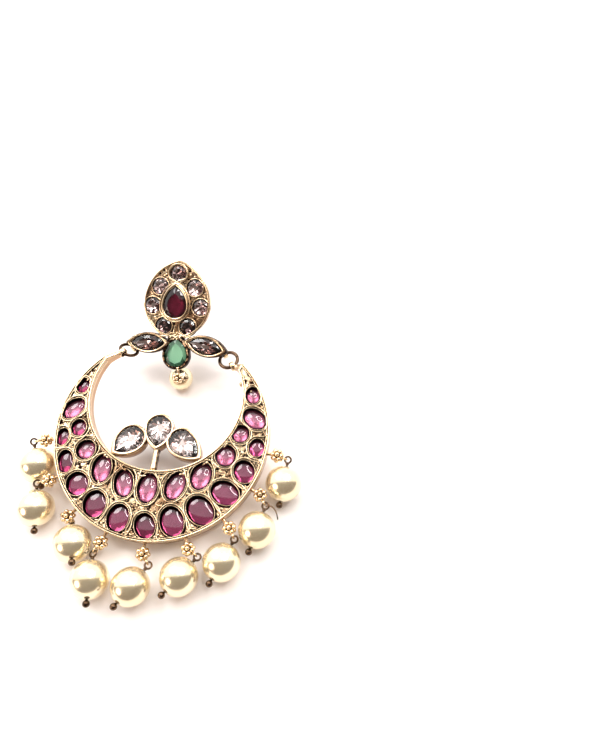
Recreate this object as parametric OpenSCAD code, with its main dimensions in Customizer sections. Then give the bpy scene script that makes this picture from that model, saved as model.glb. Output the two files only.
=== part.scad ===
// Chandbali earring, lying face up: a crescent set with pink stones hangs by two
// jump rings from a pear-shaped ear stud, and nine pearls hang from its outer edge.
// Each part is drawn in its own plane and then laid in the pose that it rests in.

/* [Crescent] */
// Radius of the crescent's outer edge
outer_r = 24.2; // [23.4:0.1:26]
// Greatest width of the crescent, at its lowest point
band_w = 15.3; // [14.8:0.05:15.8]
// Width of the crescent's arms where their straps begin
arm_w = 1.79; // [1.5:0.01:2.3]
// Depth of the casting from the rim to the back
crescent_depth = 3.4; // [2.8:0.1:4.2]
// Width of the raised rim
rim_w = 0.8; // [0.6:0.05:1]
// Height of the rim above the field between the cells
rim_h = 0.5; // [0.3:0.05:0.7]
// Thickness of the wall round each cell
collar_w = 0.36; // [0.25:0.01:0.45]
// Depth of the stone cells below the field
pocket_depth = 1.3; // [1:0.05:1.6]
// Radius of the larger cast granules
granule_r = 0.45; // [0.3:0.01:0.55]

/* [Stones] */
// Clearance between a stone and its cell
stone_gap = 0.06; // [0.04:0.01:0.12]
// Rise of the domed stones of the inner row
dome_h = 1; // [0.6:0.05:1.3]
// Rise of the flatter stones of the outer row
flat_dome_h = 0.5; // [0.3:0.05:0.8]
// Height of a cut stone's crown
crown_h = 0.5; // [0.3:0.05:0.8]

/* [Fan of pear settings] */
// Outer radius of a setting's round end
fan_r = 3.35; // [3:0.05:3.5]
// Distance from the round end's centre to the point
fan_point = 5.2; // [4.8:0.05:5.6]
// Depth of the fan settings
fan_depth = 2.8; // [2:0.1:3.4]
// Thickness of the metal round a cut stone
bezel_w = 0.65; // [0.4:0.05:0.8]
// Length of the stem that carries the middle setting
stem_len = 4.6; // [4.2:0.1:5]
// Width of the stem
stem_w = 1.3; // [0.9:0.1:1.6]

/* [Stud] */
// Radius of the stud plate's round end
stud_r = 8.1; // [7.8:0.1:9]
// Distance from the round end's centre to the tip
stud_point = 10.5; // [9.8:0.1:11.5]
// Depth of the stud plate
stud_depth = 3; // [2.4:0.1:3.6]
// Thickness of the plate's upper step
flange_h = 1; // [0.8:0.05:1.3]
// How far the lower step stands in from the upper one
step_in = 0.4; // [0.2:0.05:0.7]
// Radius of the round stones
round_r = 2; // [1.8:0.02:2.1]
// Half width of the wine-red pear stone
ruby_r = 2.75; // [2.4:0.05:2.85]
// Distance from that stone's round centre to its point
ruby_point = 4.7; // [4.2:0.05:5]
// Length of a marquise stone
marquise_l = 8.2; // [7.6:0.1:8.6]
// Width of a marquise stone
marquise_w = 3.8; // [3.2:0.1:4.2]
// Half width of the green pear stone
green_r = 2.7; // [2.4:0.05:2.9]
// Distance from the green stone's round centre to its point
green_point = 4; // [3.6:0.05:4.4]
// Depth of the marquise and green settings
small_depth = 2; // [1.7:0.1:2.6]

/* [Ear post] */
// Radius of the ear post
post_r = 0.45; // [0.35:0.01:0.5]
// Length of the post behind the stud's back
post_len = 13.2; // [11:0.1:15]
// Depth of the post's socket in the back of the stud
socket_depth = 0.8; // [0.5:0.05:1]
// Radius of the tenon that holds the post in its socket
tenon_r = 0.28; // [0.22:0.01:0.29]
// Bare length of the tenon between the back and the post
post_neck = 0.1; // [0.05:0.01:0.2]
// Clearance round the tenon in its socket
post_gap = 0.05; // [0.03:0.01:0.1]

/* [Jump rings] */
// Radius of the ring wire
link_wire = 0.35; // [0.28:0.01:0.4]
// Radius of the hole in the eyes that the rings pass through
eye_hole = 0.74; // [0.68:0.01:0.85]
// Thickness of the wall round such a hole
eye_wall = 0.38; // [0.3:0.01:0.5]
// Width of the strap eyes along their hole
strap_w = 1.1; // [0.9:0.05:1.3]
// Lengthwise distance between the two eyes of the left ring
link_span = 3; // [2.8:0.1:3.6]

/* [Pearls] */
// Radius of the large pearls
pearl_r = 4; // [3.6:0.05:4.2]
// Radius of the small pearl
drop_r = 2.88; // [2.6:0.02:3]
// Radius of the hole through a pearl
drill_r = 0.3; // [0.27:0.01:0.4]
// Radius of the head pins' wire
pin_r = 0.22; // [0.18:0.01:0.22]
// Radius of a pin's loop
loop_r = 0.7; // [0.65:0.01:0.8]
// Length of the wrapped neck between the loop and the pearl
neck_len = 0.55; // [0.4:0.05:0.8]
// Radius of the ball end of a pin
ball_r = 0.75; // [0.5:0.05:0.8]
// Radius of a granule of a rosette
bead_r = 0.46; // [0.4:0.01:0.48]
// Radius of the sphere that the granules' centres lie on
rosette_r = 1.12; // [1.1:0.01:1.2]
// Wire radius of the eye behind a rosette
ear_wire = 0.2; // [0.16:0.01:0.22]
// Radius of that eye
ear_r = 0.55; // [0.53:0.01:0.62]

/* [Pose] */
// Slope of the crescent, stud side up
crescent_tilt = 7; // [5:0.5:9]
// Height of the crescent's centre above the surface
crescent_z = 8.2; // [7.6:0.1:9]
// Slope of the stud
stud_tilt = 32; // [28:0.5:36]
// Roll of the stud, right side up
stud_roll = 5; // [2:0.5:8]

/* [Hidden] */
fine = 64;
medium = 32;
join = 0.05;

// Seats of the crescent's stones, one row each:
// node name, angle from straight down, place across the crescent (0 inner to 1 outer edge),
// length as a share of the crescent's width there, width as a share of the distance from
// the outer centre, direction of the long axis, 1 for a domed stone and 0 for a flatter one.
ruby_rows = [
    ["ruby_left_1", -116, 0.57, 0.88, 0.13, 80, 0],
    ["ruby_left_2", -101, 0.6, 0.86, 0.19, 50, 1],
    ["ruby_inner_1", -89, 0.4, 0.45, 0.18, 97, 0],
    ["ruby_inner_2", -72, 0.36, 0.41, 0.25, 65, 1],
    ["ruby_inner_3", -52, 0.31, 0.49, 0.29, 90, 1],
    ["ruby_inner_4", -28, 0.29, 0.43, 0.31, 100, 1],
    ["ruby_inner_5", -5, 0.26, 0.44, 0.35, 90, 1],
    ["ruby_inner_6", 22, 0.25, 0.43, 0.34, 72, 1],
    ["ruby_inner_7", 47, 0.26, 0.45, 0.34, 77, 1],
    ["ruby_inner_8", 73, 0.26, 0.44, 0.3, 97, 1],
    ["ruby_inner_9", 92, 0.28, 0.47, 0.23, 84, 1],
    ["ruby_outer_1", -83, 0.8, 0.42, 0.125, 88, 0],
    ["ruby_outer_2", -68, 0.8, 0.45, 0.16, 100, 0],
    ["ruby_outer_3", -52, 0.76, 0.4, 0.23, 113, 0],
    ["ruby_outer_4", -35, 0.76, 0.41, 0.24, 93, 0],
    ["ruby_outer_5", -18, 0.76, 0.4, 0.23, 86, 0],
    ["ruby_outer_6", -1, 0.78, 0.36, 0.21, 115, 0],
    ["ruby_outer_7", 15, 0.74, 0.44, 0.25, 115, 0],
    ["ruby_outer_8", 33, 0.72, 0.48, 0.27, 135, 0],
    ["ruby_outer_9", 51, 0.71, 0.48, 0.25, 157, 0],
    ["ruby_outer_10", 68, 0.73, 0.43, 0.22, 120, 0],
    ["ruby_outer_11", 84, 0.76, 0.41, 0.165, 92, 0],
    ["ruby_right_2", 102, 0.57, 0.81, 0.21, 145, 1],
    ["ruby_right_1", 117, 0.55, 0.85, 0.16, 103, 1],
];

// Pear settings of the fan, one row each: node name, place of the point round the opening,
// stem lengths between rim and point, turn of the setting about its point, how far the point
// is drawn out and how deep the setting is, as shares of the driving sizes.
fan_rows = [
    ["fan_stone_left", -35, 0, -11, 1.05, 1],
    ["fan_stone_centre", -1.5, 1, 2, 1, 0.92],
    ["fan_stone_right", 34.5, 0, 18, 1.2, 1],
];

// Round stones of the stud as shares of the plate's radius: x, y.
round_places = [
    [0, 0.89],
    [0.525, 0.5],
    [-0.525, 0.5],
    [0.728, -0.07],
    [-0.728, -0.07],
    [0.364, -0.655],
    [-0.364, -0.655],
];

// Marquise settings: node name, side, place of the inner point beside and below the middle
// of the joint as shares of the plate's radius, turn of the outer point below level, and how
// far the link's eye stands in from that point and below the long axis as shares of the
// stone's width.
marquise_rows = [
    ["marquise_left", -1, 0.156, 0.156, 2, 0.15, 0.32],
    ["marquise_right", 1, 0.258, 0.07, 11, 0.1, 0.17],
];

// Link eyes at the crescent's tips: side, how far outside the stud's eye and how far beyond the
// end of the arm they stand.
tip_rows = [
    [-1, 1.97, 2.42],
    [1, 2.47, 0.6],
];

// Pearl drops, one row each: rosette's place counted from the middle, turn and dip of the
// eye from straight outwards, and the direction in which the pin lies, from +X.
pearl_rows = [
    [-4, 5, 0, -74],
    [-3, -10, 0, -82],
    [-2, 65, 60, -69],
    [-1, -5, 0, -82.5],
    [0, 35, 0, -120],
    [1, 35, 0, -126],
    [2, -10, 0, -113.5],
    [3, -30, 0, -106],
    [4, -10, 0, -98],
];

// Vectors
function unit(v) = v / norm(v);
function turned(v, about_x) = [
    v[0],
    v[1] * cos(about_x) - v[2] * sin(about_x),
    v[1] * sin(about_x) + v[2] * cos(about_x),
];
function rolled(v, about_y) = [
    v[0] * cos(about_y) + v[2] * sin(about_y),
    v[1],
    v[2] * cos(about_y) - v[0] * sin(about_y),
];

// Crescent's own plane: x to the right, y towards the stud, z up from the rim's top. The
// opening's circle passes through the edge at the lowest point and through the arms' ends.
inner_shift = -0.016 * outer_r;
arm_end = 137;
low_reach = outer_r - band_w;
arm_reach = outer_r - arm_w;
inner_rise = (pow(arm_reach, 2) - pow(low_reach, 2) - 2 * arm_reach * sin(arm_end) * inner_shift)
    / (2 * (low_reach - arm_reach * cos(arm_end)));
inner_r = norm([inner_shift, inner_rise + low_reach]);
function outward(a) = [sin(a), -cos(a), 0];
function along(a) = [cos(a), sin(a), 0];
function lean(a) = inner_shift * sin(a) - inner_rise * cos(a);
function inner_reach(a) =
    lean(a) + sqrt(pow(lean(a), 2) + pow(inner_r, 2) - pow(inner_rise, 2) - pow(inner_shift, 2));
function band(a) = outer_r - inner_reach(a);
function place(a, across) = outward(a) * (inner_reach(a) + across * band(a));
function crescent_point(p) = turned(p, crescent_tilt) + [0, 0, crescent_z];

// Rosettes and the eyes that the pearls hang from
rosette_size = rosette_r + bead_r;
rosette_gap = 0.7;
rosette_reach = outer_r + rosette_size + rosette_gap;
rosette_step = 20.6;
rosette_w = -0.41 * crescent_depth;
neck_root = 0.3;
stalk_len = rosette_size - ear_wire - join;
ear_reach = stalk_len + ear_r - join;
loop_reach = ear_reach + loop_r + ear_r - ear_wire - pin_r - join;
function rosette_at(i) =
    crescent_point(rosette_reach * outward(rosette_step * pearl_rows[i][0]) + [0, 0, rosette_w]);
function ear_dir(i) =
    let (a = rosette_step * pearl_rows[i][0], turn = pearl_rows[i][1], dip = pearl_rows[i][2])
    turned((outward(a) * cos(turn) + along(a) * sin(turn)) * cos(dip) - [0, 0, sin(dip)],
        crescent_tilt);

// Lie of a drop whose loop hangs at a point: the pearl rests on the surface
pearl_gap = 0.05;
function chain_len(r) = loop_r + neck_len + r + pearl_gap;
function pearl_from(loop, r, heading, chain) =
    let (fall = r - loop[2], run = sqrt(chain * chain - fall * fall))
    [loop[0] + run * cos(heading), loop[1] + run * sin(heading), r];
function loop_at(i) = rosette_at(i) + ear_dir(i) * loop_reach;
function pearl_at(i) = pearl_from(loop_at(i), pearl_r, pearl_rows[i][3], chain_len(pearl_r));
function ball_at(i) =
    pearl_at(i) + unit(pearl_at(i) - loop_at(i)) * (pearl_r + ball_r + pearl_gap);

// Stud's own plane: x to the right, y towards the tip, z up from the plate's rim
plate_y = 0.075 * stud_r;
gem_centre = [-0.05 * stud_r, 0];
green_centre = [0.04 * stud_r, -1.455 * stud_r];
joint_centre = [0, -0.93 * stud_r];
joint_r = 0.28 * stud_r;
round_places_mm = [for (p = round_places) stud_r * p + [0, plate_y]];
function stud_dir(v) = turned(rolled(v, -stud_roll), stud_tilt);
function marquise_axis(row) = [row[1] * cos(row[4]), -sin(row[4]), 0];
function marquise_mid(row) =
    let (half = (marquise_l / 2 + bezel_w * marquise_l / marquise_w) * marquise_axis(row))
    joint_centre + stud_r * [row[1] * row[2], -row[3]] + [half[0], half[1]];
function marquise_down(row) = [-row[1] * sin(row[4]), -cos(row[4]), 0];
eye_r = eye_hole + eye_wall;
function stud_eye(row) =
    concat(marquise_mid(row), [-small_depth - 0.75 * eye_r])
    + marquise_axis(row) * (marquise_l / 2 + bezel_w - row[5] * marquise_w)
    + marquise_down(row) * row[6] * marquise_w;

// Where the stud lies: its post's end and the pearls touch the surface
post_y = -0.3 * stud_r;
stud_slope = acos(cos(stud_tilt) * cos(stud_roll));
stud_z = (stud_depth + post_len) * cos(stud_slope) - post_y * sin(stud_tilt) + post_r * sin(stud_slope);
stud_x = -0.55;
strap_z = -0.59 * crescent_depth;
function stud_eye_x(side) = stud_x + stud_dir(stud_eye(marquise_rows[side]))[0];
function arm_tip(side) = (arm_reach + arm_w / 2) * outward(tip_rows[side][0] * arm_end);
function tip_place(side) =
    let (row = tip_rows[side])
    [stud_eye_x(side) + row[0] * row[1], arm_tip(side)[1] + row[2], strap_z];
function tip_eye(side) = crescent_point(tip_place(side));
stud_y = tip_eye(0)[1] + link_span - stud_dir(stud_eye(marquise_rows[0]))[1];
stud_at = [stud_x, stud_y, stud_z];
function stud_point_at(p) = stud_at + stud_dir(p);

// Jump rings: each passes through the eye at the crescent's tip and the eye on the stud
function link_a(side) = tip_eye(side);
function link_b(side) = stud_point_at(stud_eye(marquise_rows[side]));
function link_r(side) = norm(link_b(side) - link_a(side)) / 2;
function link_cross(side) =
    unit(cross(turned([0, 0, 1], crescent_tilt), link_b(side) - link_a(side)));
function link_axis(side) = unit(cross(link_b(side) - link_a(side), link_cross(side)));

// Small rosette and pearl below the green setting
drop_turn = 12;
drop_neck = 1.05;
drop_bead = 0.8 * bead_r;
drop_rosette_r = 0.88 * rosette_r;
green_reach = green_r + bezel_w + drop_rosette_r + drop_neck;
drop_rosette = concat(green_centre, [0.175 * small_depth])
    + [sin(drop_turn), -cos(drop_turn), 0] * green_reach;
drop_dip = 34;
drop_ear_r = 0.8 * ear_r;
drop_ear_reach = drop_rosette_r + drop_bead + drop_ear_r - ear_wire - 2 * join;
drop_loop_r = 0.6 * loop_r;
drop_pin_r = 0.7 * pin_r;
drop_ball_r = 0.5 * ball_r;
drop_loop_reach = drop_ear_reach + drop_loop_r + join;
drop_rosette_at = stud_point_at(drop_rosette);
drop_ear_dir = stud_dir([cos(drop_dip), 0, -sin(drop_dip)]);
drop_loop_at = drop_rosette_at + drop_ear_dir * drop_loop_reach;
drop_heading = 142;
drop_neck_len = 0.85 * neck_len;
drop_chain = drop_loop_r + drop_neck_len + drop_r + pearl_gap;
drop_at = pearl_from(drop_loop_at, drop_r, drop_heading, drop_chain);

// The whole earring is centred on its own footprint
x_ends = concat(
    [for (i = [0 : len(pearl_rows) - 1]) pearl_at(i)[0] - pearl_r],
    [for (i = [0 : len(pearl_rows) - 1]) pearl_at(i)[0] + pearl_r]
);
y_low = min([for (i = [0 : len(pearl_rows) - 1])
    min(ball_at(i)[1] - ball_r, pearl_at(i)[1] - pearl_r)]);
plate_top = plate_y + stud_point;
y_high = max(
    stud_point_at([0, plate_top, -flange_h])[1],
    stud_point_at([0, plate_top - step_in, -stud_depth])[1]
);
footprint = [(min(x_ends) + max(x_ends)) / 2, (y_low + y_high) / 2, 0];

// Outlines
function oval(long, wide, n = 28) =
    [for (i = [0 : n - 1]) [long / 2 * cos(360 * i / n), wide / 2 * sin(360 * i / n)]];

// A pear with its point up: a half circle, then two arcs that meet at the point
function pear(r, point, n = 12) =
    let (side_r = (point * point + r * r) / (2 * r), sweep = asin(point / side_r))
    concat(
        [for (i = [0 : n]) [r * cos(180 + 180 * i / n), r * sin(180 + 180 * i / n)]],
        [for (i = [1 : n - 1]) [side_r * cos(sweep * i / n) + r - side_r, side_r * sin(sweep * i / n)]],
        [[0, point]],
        [for (i = [n - 1 : -1 : 1])
            [side_r - r - side_r * cos(sweep * i / n), side_r * sin(sweep * i / n)]]
    );

// Two equal arcs that meet in a point at each end of the x axis
function marquise(long, wide, n = 12) =
    let (side_r = (long * long + wide * wide) / (4 * wide), sweep = asin(long / 2 / side_r))
    concat(
        [for (i = [0 : n - 1]) let (t = sweep * (1 - 2 * i / n))
            [side_r * sin(t), side_r * cos(t) - side_r + wide / 2]],
        [for (i = [0 : n - 1]) let (t = sweep * (1 - 2 * i / n))
            [-side_r * sin(t), side_r - wide / 2 - side_r * cos(t)]]
    );

module slab(low, high) {
    translate([0, 0, low])
        linear_extrude(height = high - low)
            children();
}

// Lays the x, y, z directions of what it holds along the given ones
module aim(at, z_dir, x_hint) {
    z = unit(z_dir);
    x = unit(x_hint - (x_hint * z) * z);
    y = cross(z, x);
    multmatrix([
        [x[0], y[0], z[0], at[0]],
        [x[1], y[1], z[1], at[1]],
        [x[2], y[2], z[2], at[2]],
        [0, 0, 0, 1],
    ])
        children();
}

module on_table() {
    translate(-footprint)
        children();
}

module on_crescent() {
    translate([0, 0, crescent_z])
        rotate([crescent_tilt, 0, 0])
            children();
}

module on_stud() {
    translate(stud_at)
        rotate([stud_tilt, 0, 0])
            rotate([0, -stud_roll, 0])
                children();
}

// The crescent's outline, drawn in from both edges
module lune(inset, low, high) {
    difference() {
        translate([0, 0, low])
            cylinder(h = high - low, r = outer_r - inset, $fn = 2 * fine);
        translate([inner_shift, inner_rise, low - join])
            cylinder(h = high - low + 2 * join, r = inner_r + inset, $fn = 2 * fine);
        for (row = tip_rows)
            arm_cut(row[0], low, high);
    }
}

// Ends an arm where its strap takes over
module arm_cut(side, low, high) {
    mirror([side > 0 ? 0 : 1, 0, 0])
        rotate(arm_end - 90)
            translate([0, 0, low - join])
                cube([2 * outer_r, outer_r / 2, high - low + 2 * join]);
}

module on_cell(row) {
    translate(place(row[1], row[2]))
        rotate(row[5])
            children();
}

function cell_long(row) = row[3] * band(row[1]);
function cell_wide(row) = row[4] * norm(place(row[1], row[2]));

module cell(row, grow, low, high) {
    on_cell(row)
        slab(low, high)
            polygon(oval(cell_long(row) + 2 * grow, cell_wide(row) + 2 * grow));
}

// Granules in the gaps beside neighbouring stones of a row
module granules() {
    for (i = [2 : len(ruby_rows) - 4]) {
        mid = (ruby_rows[i][1] + ruby_rows[i + 1][1]) / 2;
        inner_row = i < 10;
        if (i != 10) {
            translate(place(mid, inner_row ? 0.11 : 0.9) - [0, 0, rim_h])
                sphere(r = granule_r, $fn = medium);
        }
        if (i > 10 && i < 20) {
            translate(place(mid, 0.5) - [0, 0, rim_h])
                sphere(r = 0.75 * granule_r, $fn = medium);
        }
    }
}

strap_root = 3;
module strap(side) {
    start_angle = tip_rows[side][0] * (arm_end - strap_root);
    start = outward(start_angle) * (outer_r + inner_reach(start_angle)) / 2;
    run = tip_place(side) - start;
    half = eye_r;
    translate([start[0], start[1], strap_z])
        rotate(atan2(run[1], run[0]))
            translate([0, -strap_w / 2, -half])
                cube([norm([run[0], run[1]]) - eye_hole, strap_w, 2 * half]);
}

function drawn_point(row) = row[4] * fan_point;

module fan_setting(row, grow, low, high) {
    on_fan(row)
        slab(low, high)
            polygon(pear(fan_r + grow, drawn_point(row) * (1 + grow / fan_r)));
}

// Puts a pear's point at its place round the opening
module on_fan(row) {
    translate([inner_shift, inner_rise, 0])
        rotate(row[1])
            translate([0, -inner_r + row[2] * stem_len - join, 0])
                rotate(180 + row[3])
                    translate([0, -drawn_point(row), 0])
                        children();
}

stem_drop = 0.85;
module stem() {
    row = fan_rows[1];
    translate([inner_shift, inner_rise, -stem_drop * fan_depth])
        rotate(row[1])
            translate([-stem_w / 2, -inner_r - join, 0])
                cube([stem_w, stem_len + 2 * bezel_w, stem_drop * fan_depth - rim_h]);
}

// A flower of granules: one in front, six round it, six behind and one at the back
module rosette(bead, reach) {
    sphere(r = 0.9 * reach, $fn = medium);
    for (ring = [[0, 1, 0], [65, 6, 0], [115, 6, 30], [180, 1, 0]])
        for (i = [1 : ring[1]])
            rotate([0, 0, ring[2] + 360 * i / ring[1]])
                rotate([ring[0], 0, 0])
                    translate([0, 0, reach])
                        sphere(r = bead, $fn = medium);
}

module wire_ring(ring_r, wire_r) {
    rotate_extrude($fn = fine)
        translate([ring_r, 0])
            circle(r = wire_r, $fn = medium);
}

// Stalk and ring in the plane of two directions, the ring's wire crossing the first one
module ear(at, out_dir, across_dir, reach, ring_r, wire_r) {
    aim(at, out_dir, across_dir) {
        cylinder(h = reach - ring_r, r = 1.4 * wire_r, $fn = medium);
        translate([0, 0, reach])
            rotate([90, 0, 0])
                wire_ring(ring_r, wire_r);
    }
}

function hang(i) = unit(pearl_at(i) - loop_at(i));
function loop_axis(i) = unit(cross(ear_dir(i), hang(i)));

module rosette_drops() {
    for (i = [0 : len(pearl_rows) - 1]) {
        a = rosette_step * pearl_rows[i][0];
        on_crescent() {
            translate(rosette_reach * outward(a) + [0, 0, rosette_w])
                rotate(a)
                    rosette(bead_r, rosette_r);
            translate((outer_r - neck_root) * outward(a) + [0, 0, rosette_w])
                rotate([90, 0, a])
                    cylinder(h = rosette_reach - outer_r + neck_root, r = bead_r, $fn = medium);
        }
        ear(rosette_at(i), ear_dir(i), loop_axis(i), ear_reach, ear_r, ear_wire);
    }
}

module crescent_metal() {
    lune(0, -crescent_depth, -rim_h);
    difference() {
        lune(0, -rim_h - join, 0);
        lune(rim_w, -rim_h - 2 * join, join);
    }
    intersection() {
        lune(rim_w / 2, -rim_h - pocket_depth, -join);
        union() {
            for (row = ruby_rows)
                cell(row, collar_w, -rim_h - join, -2 * join);
            granules();
        }
    }
    for (side = [0, 1])
        strap(side);
    for (row = fan_rows)
        fan_setting(row, 0, -row[5] * fan_depth, 0);
    stem();
}

fan_pocket = 1.5;
module crescent_pockets() {
    for (row = ruby_rows)
        cell(row, 0, -rim_h - pocket_depth, 1);
    for (row = fan_rows)
        fan_setting(row, -bezel_w, -fan_pocket, 1);
}

module crescent_frame() {
    color("goldenrod")
        on_table()
            difference() {
                union() {
                    on_crescent()
                        difference() {
                            crescent_metal();
                            crescent_pockets();
                        }
                    for (side = [0, 1])
                        aim(link_a(side), link_cross(side), [0, 0, 1])
                            cylinder(h = strap_w, r = eye_r, center = true, $fn = fine);
                    rosette_drops();
                }
                for (side = [0, 1])
                    aim(link_a(side), link_cross(side), [0, 0, 1])
                        cylinder(h = 3 * strap_w, r = eye_hole, center = true, $fn = fine);
            }
}

// A cabochon: an oval prism under a large sphere
module ruby(row) {
    long = cell_long(row) - 2 * stone_gap;
    wide = cell_wide(row) - 2 * stone_gap;
    rise = row[6] == 1 ? dome_h : flat_dome_h;
    top = row[6] == 1 ? -0.35 : -rim_h - 0.25;
    ball = (long * long / 4 + rise * rise) / (2 * rise);
    color("mediumvioletred")
        on_table()
            on_crescent()
                on_cell(row)
                    intersection() {
                        slab(-rim_h - pocket_depth + stone_gap, 0)
                            polygon(oval(long, wide));
                        translate([0, 0, top - ball])
                            sphere(r = ball, $fn = 3 * fine);
                    }
}

// A cut stone: table, crown, girdle and pavilion facets between three outlines
module cut_stone(outline, table, depth) {
    hull() {
        slab(crown_h - join, crown_h)
            scale(table)
                polygon([for (i = [0 : 2 : len(outline) - 1]) outline[i]]);
        slab(-0.15, 0)
            polygon(outline);
        slab(-depth, -depth + join)
            scale(0.25)
                polygon([for (i = [0 : 2 : len(outline) - 1]) outline[i]]);
    }
}

module fan_stone(row) {
    inset = bezel_w + stone_gap;
    color("mistyrose")
        on_table()
            on_crescent()
                on_fan(row)
                    translate([0, 0, -0.2])
                        cut_stone(pear(fan_r - inset, (1 - inset / fan_r) * drawn_point(row), 6), 0.6,
                            fan_pocket - 0.2 - stone_gap);
}

// The stud's plate and settings, before the stones' seats are cut
round_bezel = 0.3;
relief = 0.4;
ruby_lift = 0.3;
module plate(grow, low, high) {
    translate([0, plate_y])
        slab(low, high)
            polygon(pear(stud_r + grow, stud_point + grow * stud_point / stud_r, 16));
}

module ruby_seat(grow, low, high) {
    translate(gem_centre)
        slab(low, high)
            polygon(pear(ruby_r + grow, ruby_point + grow * ruby_point / ruby_r));
}

module green_seat(grow, low, high) {
    translate(green_centre)
        slab(low, high)
            polygon(pear(green_r + grow, green_point + grow * green_point / green_r));
}

module marquise_seat(row, grow, low, high) {
    translate(marquise_mid(row))
        rotate(row[1] * -row[4])
            slab(low, high)
                polygon(marquise(marquise_l + 2 * grow * marquise_l / marquise_w,
                    marquise_w + 2 * grow));
}

// A small leaf and granules between the lower stones and over the joint
module leaf() {
    for (spot = [[0, -0.69, 1], [-0.05, -0.78, 0.8], [0.05, -0.78, 0.8], [0, -0.87, 1], [-0.09, -0.9, 0.9],
            [0.09, -0.9, 0.9]])
        translate([spot[0] * stud_r, spot[1] * stud_r, -relief])
            sphere(r = spot[2] * granule_r, $fn = medium);
}

module stud_metal() {
    plate(0, -flange_h, -relief);
    plate(-step_in, -stud_depth, -flange_h + join);
    difference() {
        plate(0, -relief - join, 0);
        plate(-rim_w * 0.7, -relief - 2 * join, join);
    }
    for (p = round_places_mm)
        translate([p[0], p[1], -relief - join])
            cylinder(h = relief, r = round_r + round_bezel, $fn = fine);
    ruby_seat(bezel_w, -relief - join, ruby_lift);
    for (row = marquise_rows)
        marquise_seat(row, bezel_w, -small_depth, 0);
    green_seat(bezel_w, -small_depth, 0);
    translate([joint_centre[0], joint_centre[1], -small_depth])
        cylinder(h = small_depth - relief, r = joint_r, $fn = fine);
    leaf();
    translate(drop_rosette)
        rosette(drop_bead, drop_rosette_r);
    translate([green_centre[0], green_centre[1], -drop_bead])
        rotate([90, 0, drop_turn])
            translate([0, 0, green_r + bezel_w / 2])
                cylinder(h = green_reach - green_r - bezel_w / 2, r = drop_bead, $fn = medium);
}

round_pocket = 1.5;
small_pocket = 1.3;
module stud_pockets() {
    for (p = round_places_mm)
        translate([p[0], p[1], -round_pocket])
            cylinder(h = round_pocket + 1, r = round_r, $fn = fine);
    ruby_seat(0, -round_pocket, 1);
    for (row = marquise_rows)
        marquise_seat(row, 0, -small_pocket, 1);
    green_seat(0, -small_pocket, 1);
    translate([0, post_y, -stud_depth - 1])
        cylinder(h = socket_depth + 1, r = tenon_r + post_gap, $fn = fine);
}

module stud_frame() {
    color("goldenrod")
        on_table()
            difference() {
                union() {
                    on_stud()
                        difference() {
                            stud_metal();
                            stud_pockets();
                        }
                    for (side = [0, 1])
                        aim(link_b(side), link_cross(side), [0, 0, 1])
                            cylinder(h = strap_w, r = eye_r, center = true, $fn = fine);
                    ear(drop_rosette_at, drop_ear_dir, drop_loop_axis, drop_ear_reach, drop_ear_r,
                        0.8 * ear_wire);
                }
                for (side = [0, 1])
                    aim(link_b(side), link_cross(side), [0, 0, 1])
                        cylinder(h = 2 * strap_w, r = eye_hole, center = true, $fn = fine);
            }
}

module ear_post() {
    color("goldenrod")
        on_table()
            on_stud()
                translate([0, post_y, -stud_depth - post_len]) {
                    cylinder(h = post_len - post_neck, r = post_r, $fn = fine);
                    translate([0, 0, post_len / 2])
                        cylinder(h = post_len / 2 + socket_depth - post_gap, r = tenon_r, $fn = fine);
                }
}

module link(side) {
    color("peru")
        on_table()
            aim((link_a(side) + link_b(side)) / 2, link_axis(side), link_cross(side))
                wire_ring(link_r(side), link_wire);
}

module stud_ruby() {
    color("maroon")
        on_table()
            on_stud()
                translate(concat(gem_centre, [ruby_lift - 0.2]))
                    cut_stone(pear(ruby_r - stone_gap, ruby_point - 2 * stone_gap, 6), 0.62,
                        round_pocket + ruby_lift - 0.2 - stone_gap);
}

module stud_green() {
    color("mediumseagreen")
        on_table()
            on_stud()
                translate(concat(green_centre, [-0.2]))
                    cut_stone(pear(green_r - stone_gap, green_point - 2 * stone_gap, 6), 0.68,
                        small_pocket - 0.2 - stone_gap);
}

module marquise_stone(row) {
    color("mistyrose")
        on_table()
            on_stud()
                translate(concat(marquise_mid(row), [-0.2]))
                    rotate(row[1] * -row[4])
                        cut_stone(marquise(marquise_l - 4 * stone_gap, marquise_w - 2 * stone_gap, 8),
                            0.6, small_pocket - 0.2 - stone_gap);
}

module round_stones() {
    color("mistyrose")
        on_table()
            on_stud()
                for (p = round_places_mm)
                    translate([p[0], p[1], -0.2])
                        cut_stone(oval(2 * round_r - 2 * stone_gap, 2 * round_r - 2 * stone_gap, 16),
                            0.6, round_pocket - 0.2 - stone_gap);
}

// A drilled pearl on its pin's line
module pearl(at, r, pin_dir, hole) {
    color("ivory")
        on_table()
            difference() {
                translate(at)
                    sphere(r = r, $fn = 2 * fine);
                aim(at, pin_dir, [0, 0, 1])
                    cylinder(h = 3 * r, r = hole, center = true, $fn = medium);
            }
}

// Loop, wrapped neck, shank and ball end, along z from the loop's centre
module head_pin(at, pin_dir, axis, ring_r, wire_r, neck, pearl_size, end_r) {
    mouth = ring_r + neck;
    end = mouth + 2 * pearl_size + 2 * pearl_gap + end_r;
    color("peru")
        on_table()
            aim(at, pin_dir, axis) {
                rotate([0, 90, 0])
                    wire_ring(ring_r, wire_r);
                translate([0, 0, ring_r - wire_r / 2])
                    cylinder(h = neck + wire_r / 2, r = 1.8 * wire_r, $fn = medium);
                translate([0, 0, mouth - neck / 2])
                    cylinder(h = end - mouth + neck / 2, r = wire_r, $fn = medium);
                translate([0, 0, end])
                    sphere(r = end_r, $fn = fine);
            }
}

drop_dir = unit(drop_at - drop_loop_at);
drop_loop_axis = unit(cross(drop_ear_dir, drop_dir));

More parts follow.
